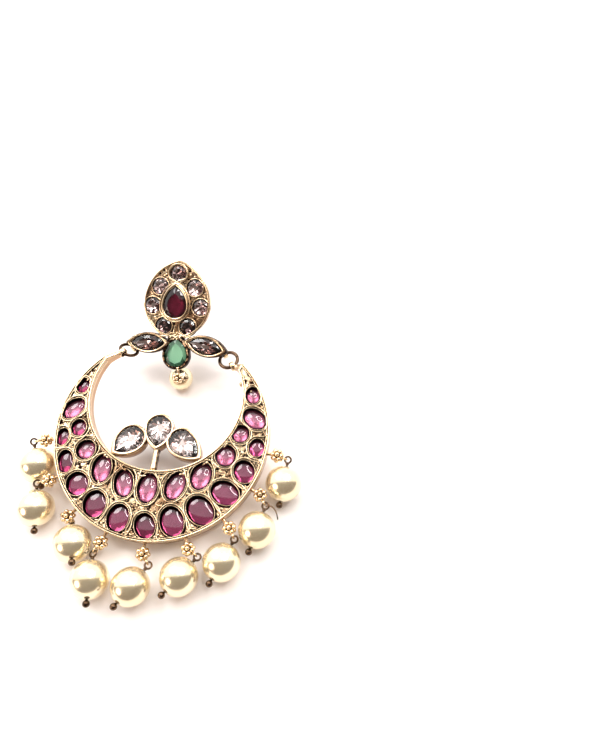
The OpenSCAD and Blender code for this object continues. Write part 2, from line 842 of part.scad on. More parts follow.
crescent_frame();
stud_frame();
ear_post();
link(0);  // link_left
link(1);  // link_right
for (row = ruby_rows)
    ruby(row);
for (row = fan_rows)
    fan_stone(row);
for (row = marquise_rows)
    marquise_stone(row);
stud_ruby();
stud_green();
round_stones();
pearl(drop_at, drop_r, drop_dir, 0.75 * drill_r);  // pearl_small
head_pin(drop_loop_at, drop_dir, drop_loop_axis, drop_loop_r, drop_pin_r, drop_neck_len, drop_r,  // pin_small
        drop_ball_r);
for (i = [0 : len(pearl_rows) - 1]) {
    pearl(pearl_at(i), pearl_r, hang(i), drill_r);
    head_pin(loop_at(i), hang(i), loop_axis(i), loop_r, pin_r, neck_len, pearl_r, ball_r);
}
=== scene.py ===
import math

import bmesh
import bpy
import numpy as np
from mathutils import Matrix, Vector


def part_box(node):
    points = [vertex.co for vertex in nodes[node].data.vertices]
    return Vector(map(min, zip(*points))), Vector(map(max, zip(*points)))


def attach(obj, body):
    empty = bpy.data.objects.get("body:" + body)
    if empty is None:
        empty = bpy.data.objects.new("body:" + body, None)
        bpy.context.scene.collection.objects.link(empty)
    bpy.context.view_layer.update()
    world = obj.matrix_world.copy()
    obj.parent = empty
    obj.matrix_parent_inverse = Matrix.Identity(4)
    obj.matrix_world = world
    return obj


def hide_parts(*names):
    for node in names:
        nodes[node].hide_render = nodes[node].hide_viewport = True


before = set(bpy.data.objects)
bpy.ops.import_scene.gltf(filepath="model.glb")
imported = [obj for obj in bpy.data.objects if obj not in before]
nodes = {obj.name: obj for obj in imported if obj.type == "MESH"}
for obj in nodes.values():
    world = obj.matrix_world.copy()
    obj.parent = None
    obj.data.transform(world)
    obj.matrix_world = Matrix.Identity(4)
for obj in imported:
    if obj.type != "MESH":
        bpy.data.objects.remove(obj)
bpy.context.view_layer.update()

scene = bpy.context.scene
mm = 0.001
rng = np.random.default_rng(7)

# Sizes and places in millimetres, in the planes that the solids are drawn in
crescent = {
    "outerR": 24.2, "innerR": 17.5, "innerRise": 8.6, "innerShift": -0.3872, "depth": 3.4,
    "fieldDepth": 0.5, "pocketDepth": 1.8, "stoneGap": 0.06, "armEnd": 137, "tilt": 7, "height": 8.2,
    "steps": 380, "columns": 46, "rimSteps": 240,
}
rosettes = {"reach": 1.12, "bead": 0.46, "step": 20.6, "gap": 0.7, "level": -0.41, "earR": 0.55, "earWire": 0.2}
pins = {"loopR": 0.7, "wire": 0.22, "neck": 0.55, "ball": 0.75, "pearlR": 4.0, "slack": 0.05, "hole": 0.3}
stud = {
    "r": 8.1, "point": 10.5, "depth": 3.0, "tilt": 32, "roll": -5, "x": -0.55,
    "relief": 0.4, "roundR": 2.0, "rubyR": 2.75, "rubyPoint": 4.7, "greenR": 2.7, "greenPoint": 4.0,
    "marquiseLong": 8.2, "marquiseWide": 3.8, "bezel": 0.65, "smallDepth": 2.0, "postR": 0.45, "postLength": 13.2,
}
rings = {"wire": 0.35, "hole": 0.74, "wall": 0.38, "strap": 1.1, "span": 3.0, "tipLow": 0.59}
fan = {"r": 3.35, "point": 5.2, "depth": 2.8, "bezel": 0.65, "stem": 4.6, "stemWidth": 1.3}
fanRows = [(-35, 0, -11, 1.05), (-1.5, 1, 2, 1.0), (34.5, 0, 18, 1.2)]  # place, stems, turn, drawn-out share
pearlRows = [(-4, 5, 0, -74), (-3, -10, 0, -82), (-2, 65, 60, -69), (-1, -5, 0, -82.5), (0, 35, 0, -120),
             (1, 35, 0, -126), (2, -10, 0, -113.5), (3, -30, 0, -106), (4, -10, 0, -98)]
roundPlaces = [(0, 0.89), (0.525, 0.5), (-0.525, 0.5), (0.728, -0.07), (-0.728, -0.07), (0.364, -0.655),
               (-0.364, -0.655)]
marquiseRows = [(-1, 0.835, -1.11, 2, 0.15, 0.32), (1, 0.925, -1.13, 11, 0.1, 0.17)]
tipRows = [(-1, 146, 0.97), (1, 142, 0.925)]
dropSizes = {"turn": 12, "neck": 1.05, "bead": 0.8, "reach": 0.88, "lift": 0.175, "dip": 34, "earR": 0.8,
             "loopR": 0.6, "wire": 0.7, "ball": 0.5, "neckLength": 0.85, "heading": 142, "pearlR": 2.88}


# Directions and placing
def vec(*v):
    return np.array(v, float)


def unit(v):
    return v / np.linalg.norm(v)


def turn(axis, degrees):
    m = np.eye(4)
    m[:3, :3] = np.array(Matrix.Rotation(math.radians(degrees), 3, axis))
    return m


def shift(v):
    m = np.eye(4)
    m[:3, 3] = v
    return m


def aimed(at, zDir, xHint):  # z along zDir, x as near to xHint as it goes
    m = np.eye(4)
    z = unit(np.asarray(zDir, float))
    x = unit(xHint - np.dot(xHint, z) * z)
    m[:3, 0], m[:3, 1], m[:3, 2], m[:3, 3] = x, np.cross(z, x), z, at
    return m


def moved(m, points):
    return np.asarray(points, float) @ m[:3, :3].T + m[:3, 3]


def cosd(a):
    return np.cos(np.radians(a))


def sind(a):
    return np.sin(np.radians(a))


# Places on the crescent: angle from straight down, share of the way across it
def outward(a):
    return vec(sind(a), -cosd(a), 0)


def along(a):
    return vec(cosd(a), sind(a), 0)


def innerReach(a):
    rise, side = crescent["innerRise"], crescent["innerShift"]
    lean = side * sind(a) - rise * cosd(a)
    return lean + np.sqrt(lean ** 2 + crescent["innerR"] ** 2 - rise ** 2 - side ** 2)


def acrossAt(a, share):
    inner = innerReach(a)
    return outward(a) * (inner + share * (crescent["outerR"] - inner))


holeCentre = vec(crescent["innerShift"], crescent["innerRise"])
onCrescent = shift((0, 0, crescent["height"])) @ turn("X", crescent["tilt"])
rosetteR = rosettes["reach"] + rosettes["bead"]
rosetteReach = crescent["outerR"] + rosetteR + rosettes["gap"]
rosetteLevel = rosettes["level"] * crescent["depth"]
earReach = rosetteR - rosettes["earWire"] - 0.05 + rosettes["earR"] - 0.05
loopReach = earReach + pins["loopR"] + rosettes["earR"] - rosettes["earWire"] - pins["wire"] - 0.05


def pearlFrom(loop, r, heading, chain):
    fall = r - loop[2]
    run = math.sqrt(chain ** 2 - fall ** 2)
    return vec(loop[0] + run * cosd(heading), loop[1] + run * sind(heading), r)


def dropPlaces(row):
    a = rosettes["step"] * row[0]
    rosette = moved(onCrescent, rosetteReach * outward(a) + vec(0, 0, rosetteLevel))
    flat = outward(a) * cosd(row[1]) + along(a) * sind(row[1])
    ear = onCrescent[:3, :3] @ (flat * cosd(row[2]) - vec(0, 0, sind(row[2])))
    loop = rosette + ear * loopReach
    chain = pins["loopR"] + pins["neck"] + pins["pearlR"] + pins["slack"]
    pearl = pearlFrom(loop, pins["pearlR"], row[3], chain)
    hang = unit(pearl - loop)
    return {"angle": a, "rosette": rosette, "ear": ear, "loop": loop, "pearl": pearl, "hang": hang,
            "axis": unit(np.cross(ear, hang))}


drops = [dropPlaces(row) for row in pearlRows]
firstLow, firstHigh = (np.array(c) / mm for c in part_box("pearl_1"))
footprint = drops[0]["pearl"] - (firstLow + firstHigh) / 2  # the solids are centred on their own footprint
footprint[2] = 0

# The stud and what ties it to the crescent
stand = (stud["depth"] + stud["postLength"]) * cosd(stud["tilt"]) * cosd(stud["roll"])
postY = -0.3 * stud["r"]
slope = math.acos(cosd(stud["tilt"]) * cosd(stud["roll"]))
stand += -postY * sind(stud["tilt"]) + stud["postR"] * math.sin(slope)
studTurn = turn("X", stud["tilt"]) @ turn("Y", stud["roll"])
eyeR = rings["hole"] + rings["wall"]
greenCentre = vec(0.04 * stud["r"], -1.455 * stud["r"], 0)
gemCentre = vec(-0.05 * stud["r"], 0, 0)
plateY = 0.075 * stud["r"]


def marquiseAt(row):
    return vec(row[0] * row[1] * stud["r"], row[2] * stud["r"], 0)


def studEye(row):
    reach = stud["marquiseLong"] / 2 + stud["bezel"] - row[4] * stud["marquiseWide"]
    tip = vec(row[0] * cosd(row[3]), -sind(row[3]), 0) * reach
    down = vec(-row[0] * sind(row[3]), -cosd(row[3]), 0) * row[5] * stud["marquiseWide"]
    return marquiseAt(row) + tip + down - vec(0, 0, stud["smallDepth"] + 0.75 * eyeR)


def tipEye(row):
    return moved(onCrescent, row[2] * crescent["outerR"] * outward(row[0] * row[1])
                 - vec(0, 0, rings["tipLow"] * crescent["depth"]))


studY = tipEye(tipRows[0])[1] + rings["span"] - moved(studTurn, studEye(marquiseRows[0]))[1]
onStud = shift((stud["x"], studY, stand)) @ studTurn
eyesA = [tipEye(row) for row in tipRows]
eyesB = [moved(onStud, studEye(row)) for row in marquiseRows]
crescentUp = onCrescent[:3, 2]
crossways = [unit(np.cross(crescentUp, b - a)) for a, b in zip(eyesA, eyesB)]

dropRosetteR = dropSizes["reach"] * rosettes["reach"]
dropBead = dropSizes["bead"] * rosettes["bead"]
dropEarR = dropSizes["earR"] * rosettes["earR"]
greenReach = stud["greenR"] + stud["bezel"] + dropRosetteR + dropSizes["neck"]
dropDown = outward(dropSizes["turn"])
dropRosette = greenCentre + dropDown * greenReach + vec(0, 0, dropSizes["lift"] * stud["smallDepth"])
dropEarReach = dropRosetteR + dropBead + dropEarR - rosettes["earWire"] - 0.1
dropLoopR = dropSizes["loopR"] * pins["loopR"]
dropNeck = dropSizes["neckLength"] * pins["neck"]
dropEar = onStud[:3, :3] @ vec(cosd(dropSizes["dip"]), 0, -sind(dropSizes["dip"]))
dropLoop = moved(onStud, dropRosette) + dropEar * (dropEarReach + dropLoopR + 0.05)
dropChain = dropLoopR + dropNeck + dropSizes["pearlR"] + pins["slack"]
dropPearl = pearlFrom(dropLoop, dropSizes["pearlR"], dropSizes["heading"], dropChain)
dropHang = unit(dropPearl - dropLoop)
dropAxis = unit(np.cross(dropEar, dropHang))
toFrame = shift(-footprint)

# Camera, as the photo was taken: above the pearls' side, looking down at the table
lens = {"fromVertical": 30.0, "lean": 4.11, "focal": 600.0, "eye": vec(34.94, -53.11, 131.7), "pixels": 740}


def addObject(name, data):
    thing = bpy.data.objects.new(name, data)
    scene.collection.objects.link(thing)
    return thing


def addCamera():
    data = bpy.data.cameras.new("photoCamera")
    cam = addObject("photoCamera", data)
    right = vec(cosd(lens["lean"]), sind(lens["lean"]), 0)
    far = vec(-sind(lens["lean"]), cosd(lens["lean"]), 0)
    up = cosd(lens["fromVertical"]) * far + sind(lens["fromVertical"]) * vec(0, 0, 1)
    back = np.cross(right, up)
    m = np.eye(4)
    m[:3, 0], m[:3, 1], m[:3, 2] = right, up, back
    m[:3, 3] = (lens["eye"] - footprint) * mm
    cam.matrix_world = Matrix(m.tolist())
    data.sensor_fit = "VERTICAL"
    data.sensor_height = 24.0
    data.lens = lens["focal"] / lens["pixels"] * data.sensor_height
    data.clip_start, data.clip_end = 0.002, 10.0
    data.dof.use_dof = False
    scene.camera = cam


addCamera()
print("camera set, footprint", footprint.round(3))


# Mesh making: a heap gathers parts, each with a material number and a darkness value per point: patina and painted
# shade on the metal, painted shadow and painted reflection tints on the stones
class Heap:
    def __init__(self):
        self.points, self.faces, self.recess, self.paint, self.smooth, self.count = [], [], [], [], [], 0

    def add(self, points, faces, recess=0.0, paint=0, smooth=True, place=None):
        points = np.asarray(points, float).reshape(-1, 3)
        if place is not None:
            points = moved(place, points)
        self.points.append(points)
        self.recess.append(np.broadcast_to(np.asarray(recess, float), (len(points),)))
        for f in faces:
            f = np.asarray(f)
            self.faces += (f.reshape(-1, f.shape[-1]) + self.count).tolist()
            n = f.size // f.shape[-1]
            self.paint += [paint] * n
            self.smooth += [smooth] * n
        self.count += len(points)

    def turned(self, profile, sides, place, recess=None, wrap=False):  # rows of radius, height and darkness value (patina and painted shade)
        points, faces = lathe([row[:2] for row in profile], sides, wrap)
        if recess is None:
            recess = np.repeat([row[2] for row in profile], sides)
        self.add(points, faces, recess, place=place)

    def build(self, name, materials, replaced, turnFaces=True):
        mesh = bpy.data.meshes.new(name)
        mesh.from_pydata((moved(toFrame, np.concatenate(self.points)) * mm).tolist(), [], self.faces)
        mesh.attributes.new("recess", "FLOAT", "POINT").data.foreach_set(
            "value", np.concatenate(self.recess).astype(np.float32))
        if turnFaces:
            bm = bmesh.new()
            bm.from_mesh(mesh)
            bmesh.ops.recalc_face_normals(bm, faces=bm.faces)
            bm.to_mesh(mesh)
            bm.free()
        mesh.polygons.foreach_set("material_index", self.paint)
        mesh.polygons.foreach_set("use_smooth", self.smooth)
        for material in materials:
            mesh.materials.append(material)
        piece = addObject(name, mesh)
        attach(piece, "root")
        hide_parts(*replaced)


def quads(rows, columns, wrapRows=False, wrapColumns=True):
    i = np.arange(rows if wrapRows else rows - 1)[:, None]
    j = np.arange(columns if wrapColumns else columns - 1)[None, :]
    nextI, nextJ = (i + 1) % rows, (j + 1) % columns
    return np.stack([i * columns + j, i * columns + nextJ, nextI * columns + nextJ, nextI * columns + j],
                    -1).reshape(-1, 4)


def loft(sections, wrap=False):  # closed sections of equally many points
    rows, columns = len(sections), len(sections[0])
    faces = [quads(rows, columns, wrapRows=wrap)]
    if not wrap:
        faces.append(np.arange(columns)[None, ::-1])
        faces.append((np.arange(columns) + (rows - 1) * columns)[None, :])
    return np.concatenate(sections), faces


def lathe(profile, sides, wrap=False):  # profile of radius, height
    a = np.arange(sides) * 2 * math.pi / sides
    sections = [np.stack([r * np.cos(a), r * np.sin(a), np.full(sides, z)], 1) for r, z in profile]
    return loft(sections, wrap)


def tube(path, radius, sides, closed=False, up=None):
    path = np.asarray(path, float)
    n, ahead = len(path), aheadOf(path, closed)
    side = np.zeros_like(path)
    ref = np.asarray(up, float) if up is not None else unit(np.cross(ahead[0], vec(0.31, 0.52, 0.8)))
    for i in range(n):
        s = np.cross(ahead[i], ref) if up is not None else ref - np.dot(ref, ahead[i]) * ahead[i]
        side[i] = unit(s)
        if up is None:
            ref = side[i]
    over = np.cross(side, ahead)
    radii = np.broadcast_to(np.asarray(radius, float), (n,))[:, None, None]
    a = np.arange(sides) * 2 * math.pi / sides
    ring = side[:, None] * np.cos(a)[None, :, None] + over[:, None] * np.sin(a)[None, :, None]
    points = path[:, None] + ring * radii
    return loft(list(points), wrap=closed)


def torus(r, wire, steps, sides, start=0.0, end=360.0):
    whole = end - start >= 360
    a = np.radians(np.linspace(start, end, steps, endpoint=not whole))
    path = np.stack([r * np.cos(a), r * np.sin(a), 0 * a], 1)
    return tube(path, wire, sides, closed=whole, up=vec(0, 0, 1))


ballCache = {}


def ball(r, at=(0, 0, 0), detail=3, stretch=(1, 1, 1)):
    if detail not in ballCache:
        bm = bmesh.new()
        bmesh.ops.create_icosphere(bm, subdivisions=detail, radius=1)
        ballCache[detail] = (np.array([v.co for v in bm.verts]),
                             np.array([[v.index for v in f.verts] for f in bm.faces]))
        bm.free()
    points, faces = ballCache[detail]
    return points * r * np.asarray(stretch) + np.asarray(at, float), [faces]


def ellipse(a, b, n=72, grow=0.0):  # points pushed out along the true normal
    t = np.arange(n) * 2 * math.pi / n
    normal = np.stack([b * np.cos(t), a * np.sin(t)], 1)
    normal /= np.linalg.norm(normal, axis=1)[:, None]
    return np.stack([a * np.cos(t), b * np.sin(t)], 1) + normal * grow


def pear(r, point, n=24):  # a half circle and two arcs that meet at the point
    sideR = (point ** 2 + r ** 2) / (2 * r)
    sweep = math.asin(min(point / sideR, 1))
    low = np.radians(np.linspace(180, 360, n + 1))
    up = np.linspace(0, sweep, n + 1)
    right = np.stack([sideR * np.cos(up) + r - sideR, sideR * np.sin(up)], 1)
    left = right[::-1] * (-1, 1)
    return np.concatenate([np.stack([r * np.cos(low), r * np.sin(low)], 1), right[1:], left[1:-1]])


def marquise(long, wide, n=24):
    sideR = (long ** 2 + wide ** 2) / (4 * wide)
    sweep = math.asin(min(long / 2 / sideR, 1))
    t = sweep * (1 - 2 * np.arange(n) / n)
    top = np.stack([sideR * np.sin(t), sideR * np.cos(t) - sideR + wide / 2], 1)
    return np.concatenate([top, -top])


def aheadOf(path, closed):  # unit direction at each point
    ahead = np.roll(path, -1, 0) - np.roll(path, 1, 0)
    if not closed:
        ahead[0], ahead[-1] = path[1] - path[0], path[-1] - path[-2]
    return ahead / np.linalg.norm(ahead, axis=1)[:, None]


def raised(outline, z):
    return np.column_stack([outline, np.broadcast_to(z, (len(outline),))])


# Node helpers
def put(tree, kind, inputs=None, **settings):
    node = tree.nodes.new(kind)
    for key, value in settings.items():
        setattr(node, key, value)
    for key, value in (inputs or {}).items():
        if isinstance(value, bpy.types.NodeSocket):
            tree.links.new(value, node.inputs[key])
        else:
            node.inputs[key].default_value = value
    return node


def mixed(tree, factor, a, b, blend="MIX"):
    return put(tree, "ShaderNodeMix", {0: factor, 6: a, 7: b}, data_type="RGBA", blend_type=blend).outputs[2]


def maths(tree, operation, a, b=0.0):
    return put(tree, "ShaderNodeMath", {0: a, 1: b}, operation=operation).outputs[0]


def ranged(tree, value, low, high, newLow=0.0, newHigh=1.0):
    sockets = {"Value": value, "From Min": low, "From Max": high, "To Min": newLow, "To Max": newHigh}
    return put(tree, "ShaderNodeMapRange", sockets, interpolation_type="SMOOTHSTEP").outputs[0]


def noise(tree, scale, detail=3.0, rough=0.55):
    sockets = {"Scale": scale, "Detail": detail, "Roughness": rough}
    sockets["Vector"] = put(tree, "ShaderNodeTexCoord").outputs["Object"]
    return put(tree, "ShaderNodeTexNoise", sockets).outputs["Fac"]


def plus(tree, a, b):
    return maths(tree, "ADD", a, b)


def times(tree, a, b):
    return maths(tree, "MULTIPLY", a, b)


def rgba(colour):
    return (*colour, 1.0)


def newGroup(name, inputs):  # a group that gives a colour, a roughness and a height
    group = bpy.data.node_groups.new(name, "ShaderNodeTree")
    for key, value in inputs.items():
        kind, value = ("NodeSocketColor", rgba(value)) if isinstance(value, tuple) else ("NodeSocketFloat", value)
        group.interface.new_socket(name=key, in_out="INPUT", socket_type=kind).default_value = value
    for key in ("Color", "Roughness", "Height"):
        kind = "NodeSocketColor" if key == "Color" else "NodeSocketFloat"
        group.interface.new_socket(name=key, in_out="OUTPUT", socket_type=kind)
    return group, group.nodes.new("NodeGroupInput").outputs, group.nodes.new("NodeGroupOutput").inputs


# Bright where it is rubbed; dark and pitted in the recesses, partly patina and partly painted shade; plain brown where
# the darkness value is below 0, a painted shade on side walls
def makeAgedMetal():
    group, given, out = newGroup("agedMetal", {
        "Bright": (0.8, 0.6, 0.38), "Warm": (0.6, 0.38, 0.2), "Dark": (0.05, 0.025, 0.012),
        "ShadeAndPatina": 0.0, "Tarnish": 0.0, "Scale": 1.0})
    broad, fine, grain = [noise(group, times(group, given["Scale"], size), detail, rough)
                          for size, detail, rough in ((170.0, 2.0, 0.55), (950.0, 4.0, 0.65), (1250.0, 2.0, 0.6))]
    cloud = times(group, maths(group, "SUBTRACT", fine, 0.5), 0.5)
    depth = plus(group, plus(group, given["ShadeAndPatina"], cloud), given["Tarnish"])
    pits = times(group, ranged(group, grain, 0.47, 0.55), ranged(group, given["ShadeAndPatina"], 0.24, 0.4))
    # the darkening mask: patina and painted shade in the recesses, with tarnish and pits
    mask = maths(group, "MAXIMUM", ranged(group, depth, 0.4, 0.85), pits)
    warmth = ranged(group, plus(group, broad, times(group, depth, 0.4)), 0.5, 0.85)
    # painted wall shade: values below 0 turn the metal plain brown
    wall = times(group, maths(group, "MINIMUM", given["ShadeAndPatina"], 0.0), -1.0)
    wearAndWallShade = mixed(group, maths(group, "MAXIMUM", warmth, wall), given["Bright"], given["Warm"])
    rough = plus(group, times(group, fine, 0.16), times(group, mask, 0.3))
    group.links.new(mixed(group, mask, wearAndWallShade, given["Dark"]), out["Color"])
    group.links.new(plus(group, rough, 0.12), out["Roughness"])
    group.links.new(maths(group, "SUBTRACT", times(group, fine, 0.7), times(group, pits, 0.9)), out["Height"])
    return group


def makeClouding():  # slow colour change inside a stone or pearl, and a faint waviness of its polish
    group, given, out = newGroup("clouding", {
        "Clear": (1, 1, 1), "Clouded": (0.5, 0.5, 0.5), "Amount": 0.5, "Scale": 300.0, "Blur": 0.0})
    slow = noise(group, given["Scale"], 2.0)
    quick = noise(group, times(group, given["Scale"], 6.0), 3.0)
    mask = times(group, ranged(group, slow, 0.35, 0.65), given["Amount"])
    group.links.new(mixed(group, mask, given["Clear"], given["Clouded"]), out["Color"])
    group.links.new(plus(group, ranged(group, quick, 0.3, 0.8, 0.02, 0.09), given["Blur"]), out["Roughness"])
    group.links.new(plus(group, times(group, slow, 0.8), times(group, quick, 0.2)), out["Height"])
    return group


agedMetal, clouding = makeAgedMetal(), makeClouding()


def newMaterial(name):
    material = bpy.data.materials.new(name)
    material.use_nodes = True
    tree = material.node_tree
    return material, tree, tree.nodes["Principled BSDF"]


def groupMaterial(name, group, look):  # a key of the look that names a socket of the group is set on it
    material, tree, shader = newMaterial(name)
    node = put(tree, "ShaderNodeGroup", node_tree=group)
    for key, value in look.items():
        if key.capitalize() in node.inputs:
            node.inputs[key.capitalize()].default_value = rgba(value) if isinstance(value, tuple) else value
    colour = node.outputs["Color"]
    if "ShadeAndPatina" in node.inputs or "shades" in look:
        recess = put(tree, "ShaderNodeAttribute", attribute_name="recess").outputs["Fac"]
    if "ShadeAndPatina" in node.inputs:
        tree.links.new(recess, node.inputs["ShadeAndPatina"])
    if "shades" in look:  # a tint from the darkness value: painted shadow on the cabochons, one painted reflection tint for each facet of the cut stones
        ramp = put(tree, "ShaderNodeValToRGB", {"Fac": recess})
        ramp.color_ramp.interpolation = look.get("steps", "LINEAR")
        while len(ramp.color_ramp.elements) < len(look["shades"]):
            ramp.color_ramp.elements.new(0.5)
        for element, (position, shade) in zip(ramp.color_ramp.elements, look["shades"]):
            element.position, element.color = position, rgba(shade)
        colour = mixed(tree, 1.0, colour, ramp.outputs["Color"], "MULTIPLY")
    bump = put(tree, "ShaderNodeBump", {"Height": node.outputs["Height"], "Strength": look["bump"],
                                        "Distance": look["bumpDepth"]})
    tree.links.new(colour, shader.inputs["Base Color"])
    tree.links.new(node.outputs["Roughness"], shader.inputs["Roughness"])
    tree.links.new(bump.outputs["Normal"], shader.inputs["Normal"])
    for key, value in look["sockets"].items():
        shader.inputs[key].default_value = value
    return material


metalLook = {"bumpDepth": 0.00012, "sockets": {"Metallic": 1.0}}
# warm also gives the painted wall shade; dark is the patina and painted shade of the recesses
gold = groupMaterial("antiqueGold", agedMetal, metalLook | {
    "bright": (0.86, 0.67, 0.44), "warm": (0.4, 0.225, 0.12), "dark": (0.014, 0.006, 0.004),
    "tarnish": 0.0, "scale": 1.0, "bump": 0.4})
bronze = groupMaterial("darkBronze", agedMetal, metalLook | {
    "bright": (0.13, 0.08, 0.05), "warm": (0.045, 0.025, 0.015), "dark": (0.012, 0.007, 0.005),
    "tarnish": 0.18, "scale": 1.6, "bump": 0.3})

stoneSockets = {"Transmission Weight": 1.0, "IOR": 1.55, "Coat Weight": 0.3, "Coat Roughness": 0.02}
# the stones' shades turn the darkness value into painted shadow and painted facet shade
stoneLook = {"amount": 0.5, "bumpDepth": 0.0002, "sockets": stoneSockets,
             "shades": [(0.0, (1, 1, 1)), (0.5, (0.45, 0.3, 0.36)), (1.0, (0.1, 0.04, 0.06))]}
uncoated = {"sockets": stoneSockets | {"Coat Weight": 0.0}}
foilLook = {"amount": 0.6, "bumpDepth": 0.0002, "sockets": {"Metallic": 1.0}}
facetLook = foilLook | {"amount": 0.5, "steps": "CONSTANT"}  # foil behind facets, one painted reflection shade for each
pinkStone = groupMaterial("pinkStone", clouding, stoneLook | {
    "clear": (0.64, 0.32, 0.42), "clouded": (0.52, 0.21, 0.31), "scale": 260.0, "bump": 0.08})
pinkFoil = groupMaterial("pinkFoil", clouding, foilLook | {
    "clear": (0.52, 0.34, 0.4), "clouded": (0.4, 0.23, 0.29), "scale": 420.0, "bump": 0.25, "blur": 0.15})
mauveStone = groupMaterial("mauveStone", clouding, stoneLook | {
    "clear": (0.56, 0.18, 0.29), "clouded": (0.44, 0.11, 0.2), "scale": 240.0, "bump": 0.08})
mauveFoil = groupMaterial("mauveFoil", clouding, foilLook | {
    "clear": (0.38, 0.2, 0.29), "clouded": (0.28, 0.12, 0.19), "scale": 420.0, "bump": 0.2})
wineStone = groupMaterial("wineStone", clouding, stoneLook | uncoated | {
    "clear": (0.46, 0.09, 0.17), "clouded": (0.36, 0.06, 0.12), "scale": 300.0, "bump": 0.05})
greenStone = groupMaterial("greenStone", clouding, stoneLook | uncoated | {
    "clear": (0.52, 0.95, 0.66), "clouded": (0.46, 0.88, 0.6), "amount": 0.4, "scale": 200.0, "bump": 0.03,
    "shades": [(0.0, (1, 1, 1)), (0.5, (0.2, 0.3, 0.24)), (1.0, (0.01, 0.03, 0.02))]})
clearStone = groupMaterial("clearStone", clouding, stoneLook | {
    "clear": (1, 0.98, 0.97), "clouded": (0.96, 0.92, 0.91), "scale": 500.0, "bump": 0.02,
    "shades": [(0.0, (1, 1, 1)), (1.0, (0.25, 0.15, 0.13))]})
# the foils' shades are painted reflections: white, brown and black facets
clearFoil = groupMaterial("clearFoil", clouding, facetLook | {
    "clear": (1, 1, 1), "clouded": (0.92, 0.88, 0.88), "amount": 0.4, "scale": 600.0, "bump": 0.05,
    "shades": [(0.0, (1, 0.98, 0.98)), (0.5, (0.72, 0.6, 0.57)), (0.72, (0.33, 0.2, 0.17)),
               (0.93, (0.05, 0.035, 0.03))]})
smokyFoil = groupMaterial("smokyFoil", clouding, facetLook | {
    "clear": (0.9, 0.8, 0.78), "clouded": (0.7, 0.56, 0.54), "scale": 600.0, "bump": 0.05,
    "shades": [(0.0, (1, 1, 1)), (0.2, (0.4, 0.25, 0.22)), (0.5, (0.13, 0.07, 0.06)), (0.8, (0.03, 0.02, 0.02))]})
greyFoil = groupMaterial("greyFoil", clouding, facetLook | {
    "clear": (1, 0.95, 0.94), "clouded": (0.85, 0.76, 0.75), "scale": 600.0, "bump": 0.05,
    "shades": [(0.0, (1, 0.96, 0.96)), (0.28, (0.6, 0.46, 0.45)), (0.5, (0.3, 0.2, 0.19)),
               (0.78, (0.06, 0.04, 0.04))]})
wineFoil = groupMaterial("wineFoil", clouding, facetLook | {
    "clear": (0.62, 0.3, 0.42), "clouded": (0.5, 0.2, 0.3), "scale": 400.0, "bump": 0.1, "blur": 0.35,
    "shades": [(0.0, (1.0, 0.5, 0.8)), (0.3, (0.5, 0.45, 0.5)), (0.7, (0.1, 0.06, 0.08))]})
greenFoil = groupMaterial("greenFoil", clouding, facetLook | {
    "clear": (0.9, 0.97, 0.92), "clouded": (0.8, 0.92, 0.86), "amount": 0.4, "scale": 300.0, "bump": 0.05,
    "blur": 0.5, "shades": [(0.0, (1, 1, 1)), (0.5, (0.03, 0.1, 0.06))]})
nacre = groupMaterial("creamNacre", clouding, foilLook | {
    "clear": (0.91, 0.79, 0.545), "clouded": (0.85, 0.7, 0.44), "scale": 130.0, "bump": 0.03, "blur": 0.17,
    "sockets": {"Metallic": 0.8, "Coat Weight": 0.5, "Coat Roughness": 0.12, "Coat IOR": 1.5,
                "Specular IOR Level": 0.7}})
print("materials made")


# Sweeps a closed profile of across, height and darkness value (patina and painted shade) beside a flat path on the
# crescent
def ribbon(heap, path, normal, profile, closed=False):
    n = len(path)
    rows = [np.column_stack([path + normal * np.broadcast_to(s, n)[:, None], np.broadcast_to(z, n)])
            for s, z, _ in profile]
    faces = [quads(len(rows), n, wrapRows=True, wrapColumns=closed)]
    if not closed:
        ends = np.arange(len(rows)) * n
        faces += [ends[None, :], ends[None, ::-1] + n - 1]
    heap.add(np.concatenate(rows), faces, np.repeat([row[2] for row in profile], n), place=onCrescent)


# Cells of the crescent, read from the stones that sit in them
def readCell(name):
    corners = np.array([v.co for v in nodes[name].data.vertices]) / mm + footprint
    flat = moved(np.linalg.inv(onCrescent), corners)
    low = np.unique(flat[flat[:, 2] < flat[:, 2].min() + 0.05, :2].round(2), axis=0)
    mid = (low.min(0) + low.max(0)) / 2
    axis = np.linalg.eigh(np.cov((low - mid).T))[1][:, 1]
    sides = [np.abs((low - mid) @ d).max() + crescent["stoneGap"] for d in (axis, vec(-axis[1], axis[0]))]
    row = name.split("_")[1]
    radial = unit(mid) if row == "outer" else unit(holeCentre - mid)
    return {"name": name, "mid": mid, "axis": axis, "a": sides[0], "b": sides[1], "top": flat[:, 2].max(),
            "low": flat[:, 2].min(), "row": row, "toRim": radial}


def cellLevel(cell, x, y, grow):  # under 1 inside the cell
    u = (x - cell["mid"][0]) * cell["axis"][0] + (y - cell["mid"][1]) * cell["axis"][1]
    v = -(x - cell["mid"][0]) * cell["axis"][1] + (y - cell["mid"][1]) * cell["axis"][0]
    return np.sqrt((u / (cell["a"] + grow)) ** 2 + (v / (cell["b"] + grow)) ** 2)


def cellTurn(cell):
    return np.column_stack([cell["axis"], (-cell["axis"][1], cell["axis"][0])]).T


def cellPath(cell, n):  # points of the cell's edge and their outward normals
    edge, out = ellipse(cell["a"], cell["b"], n), ellipse(cell["a"], cell["b"], n, 1.0)
    return edge @ cellTurn(cell) + cell["mid"], (out - edge) @ cellTurn(cell)


cells = [readCell(name) for name in sorted(nodes) if name.startswith("ruby_")]
lip = {"width": 0.17, "top": -0.16, "points": 56}
ridge = {"away": 0.52, "half": 0.14, "top": -0.02, "flare": 0.4, "rimGap": 0.35}


def smooth(x, low, high):
    t = np.clip((x - low) / (high - low), 0, 1)
    return t * t * (3 - 2 * t)


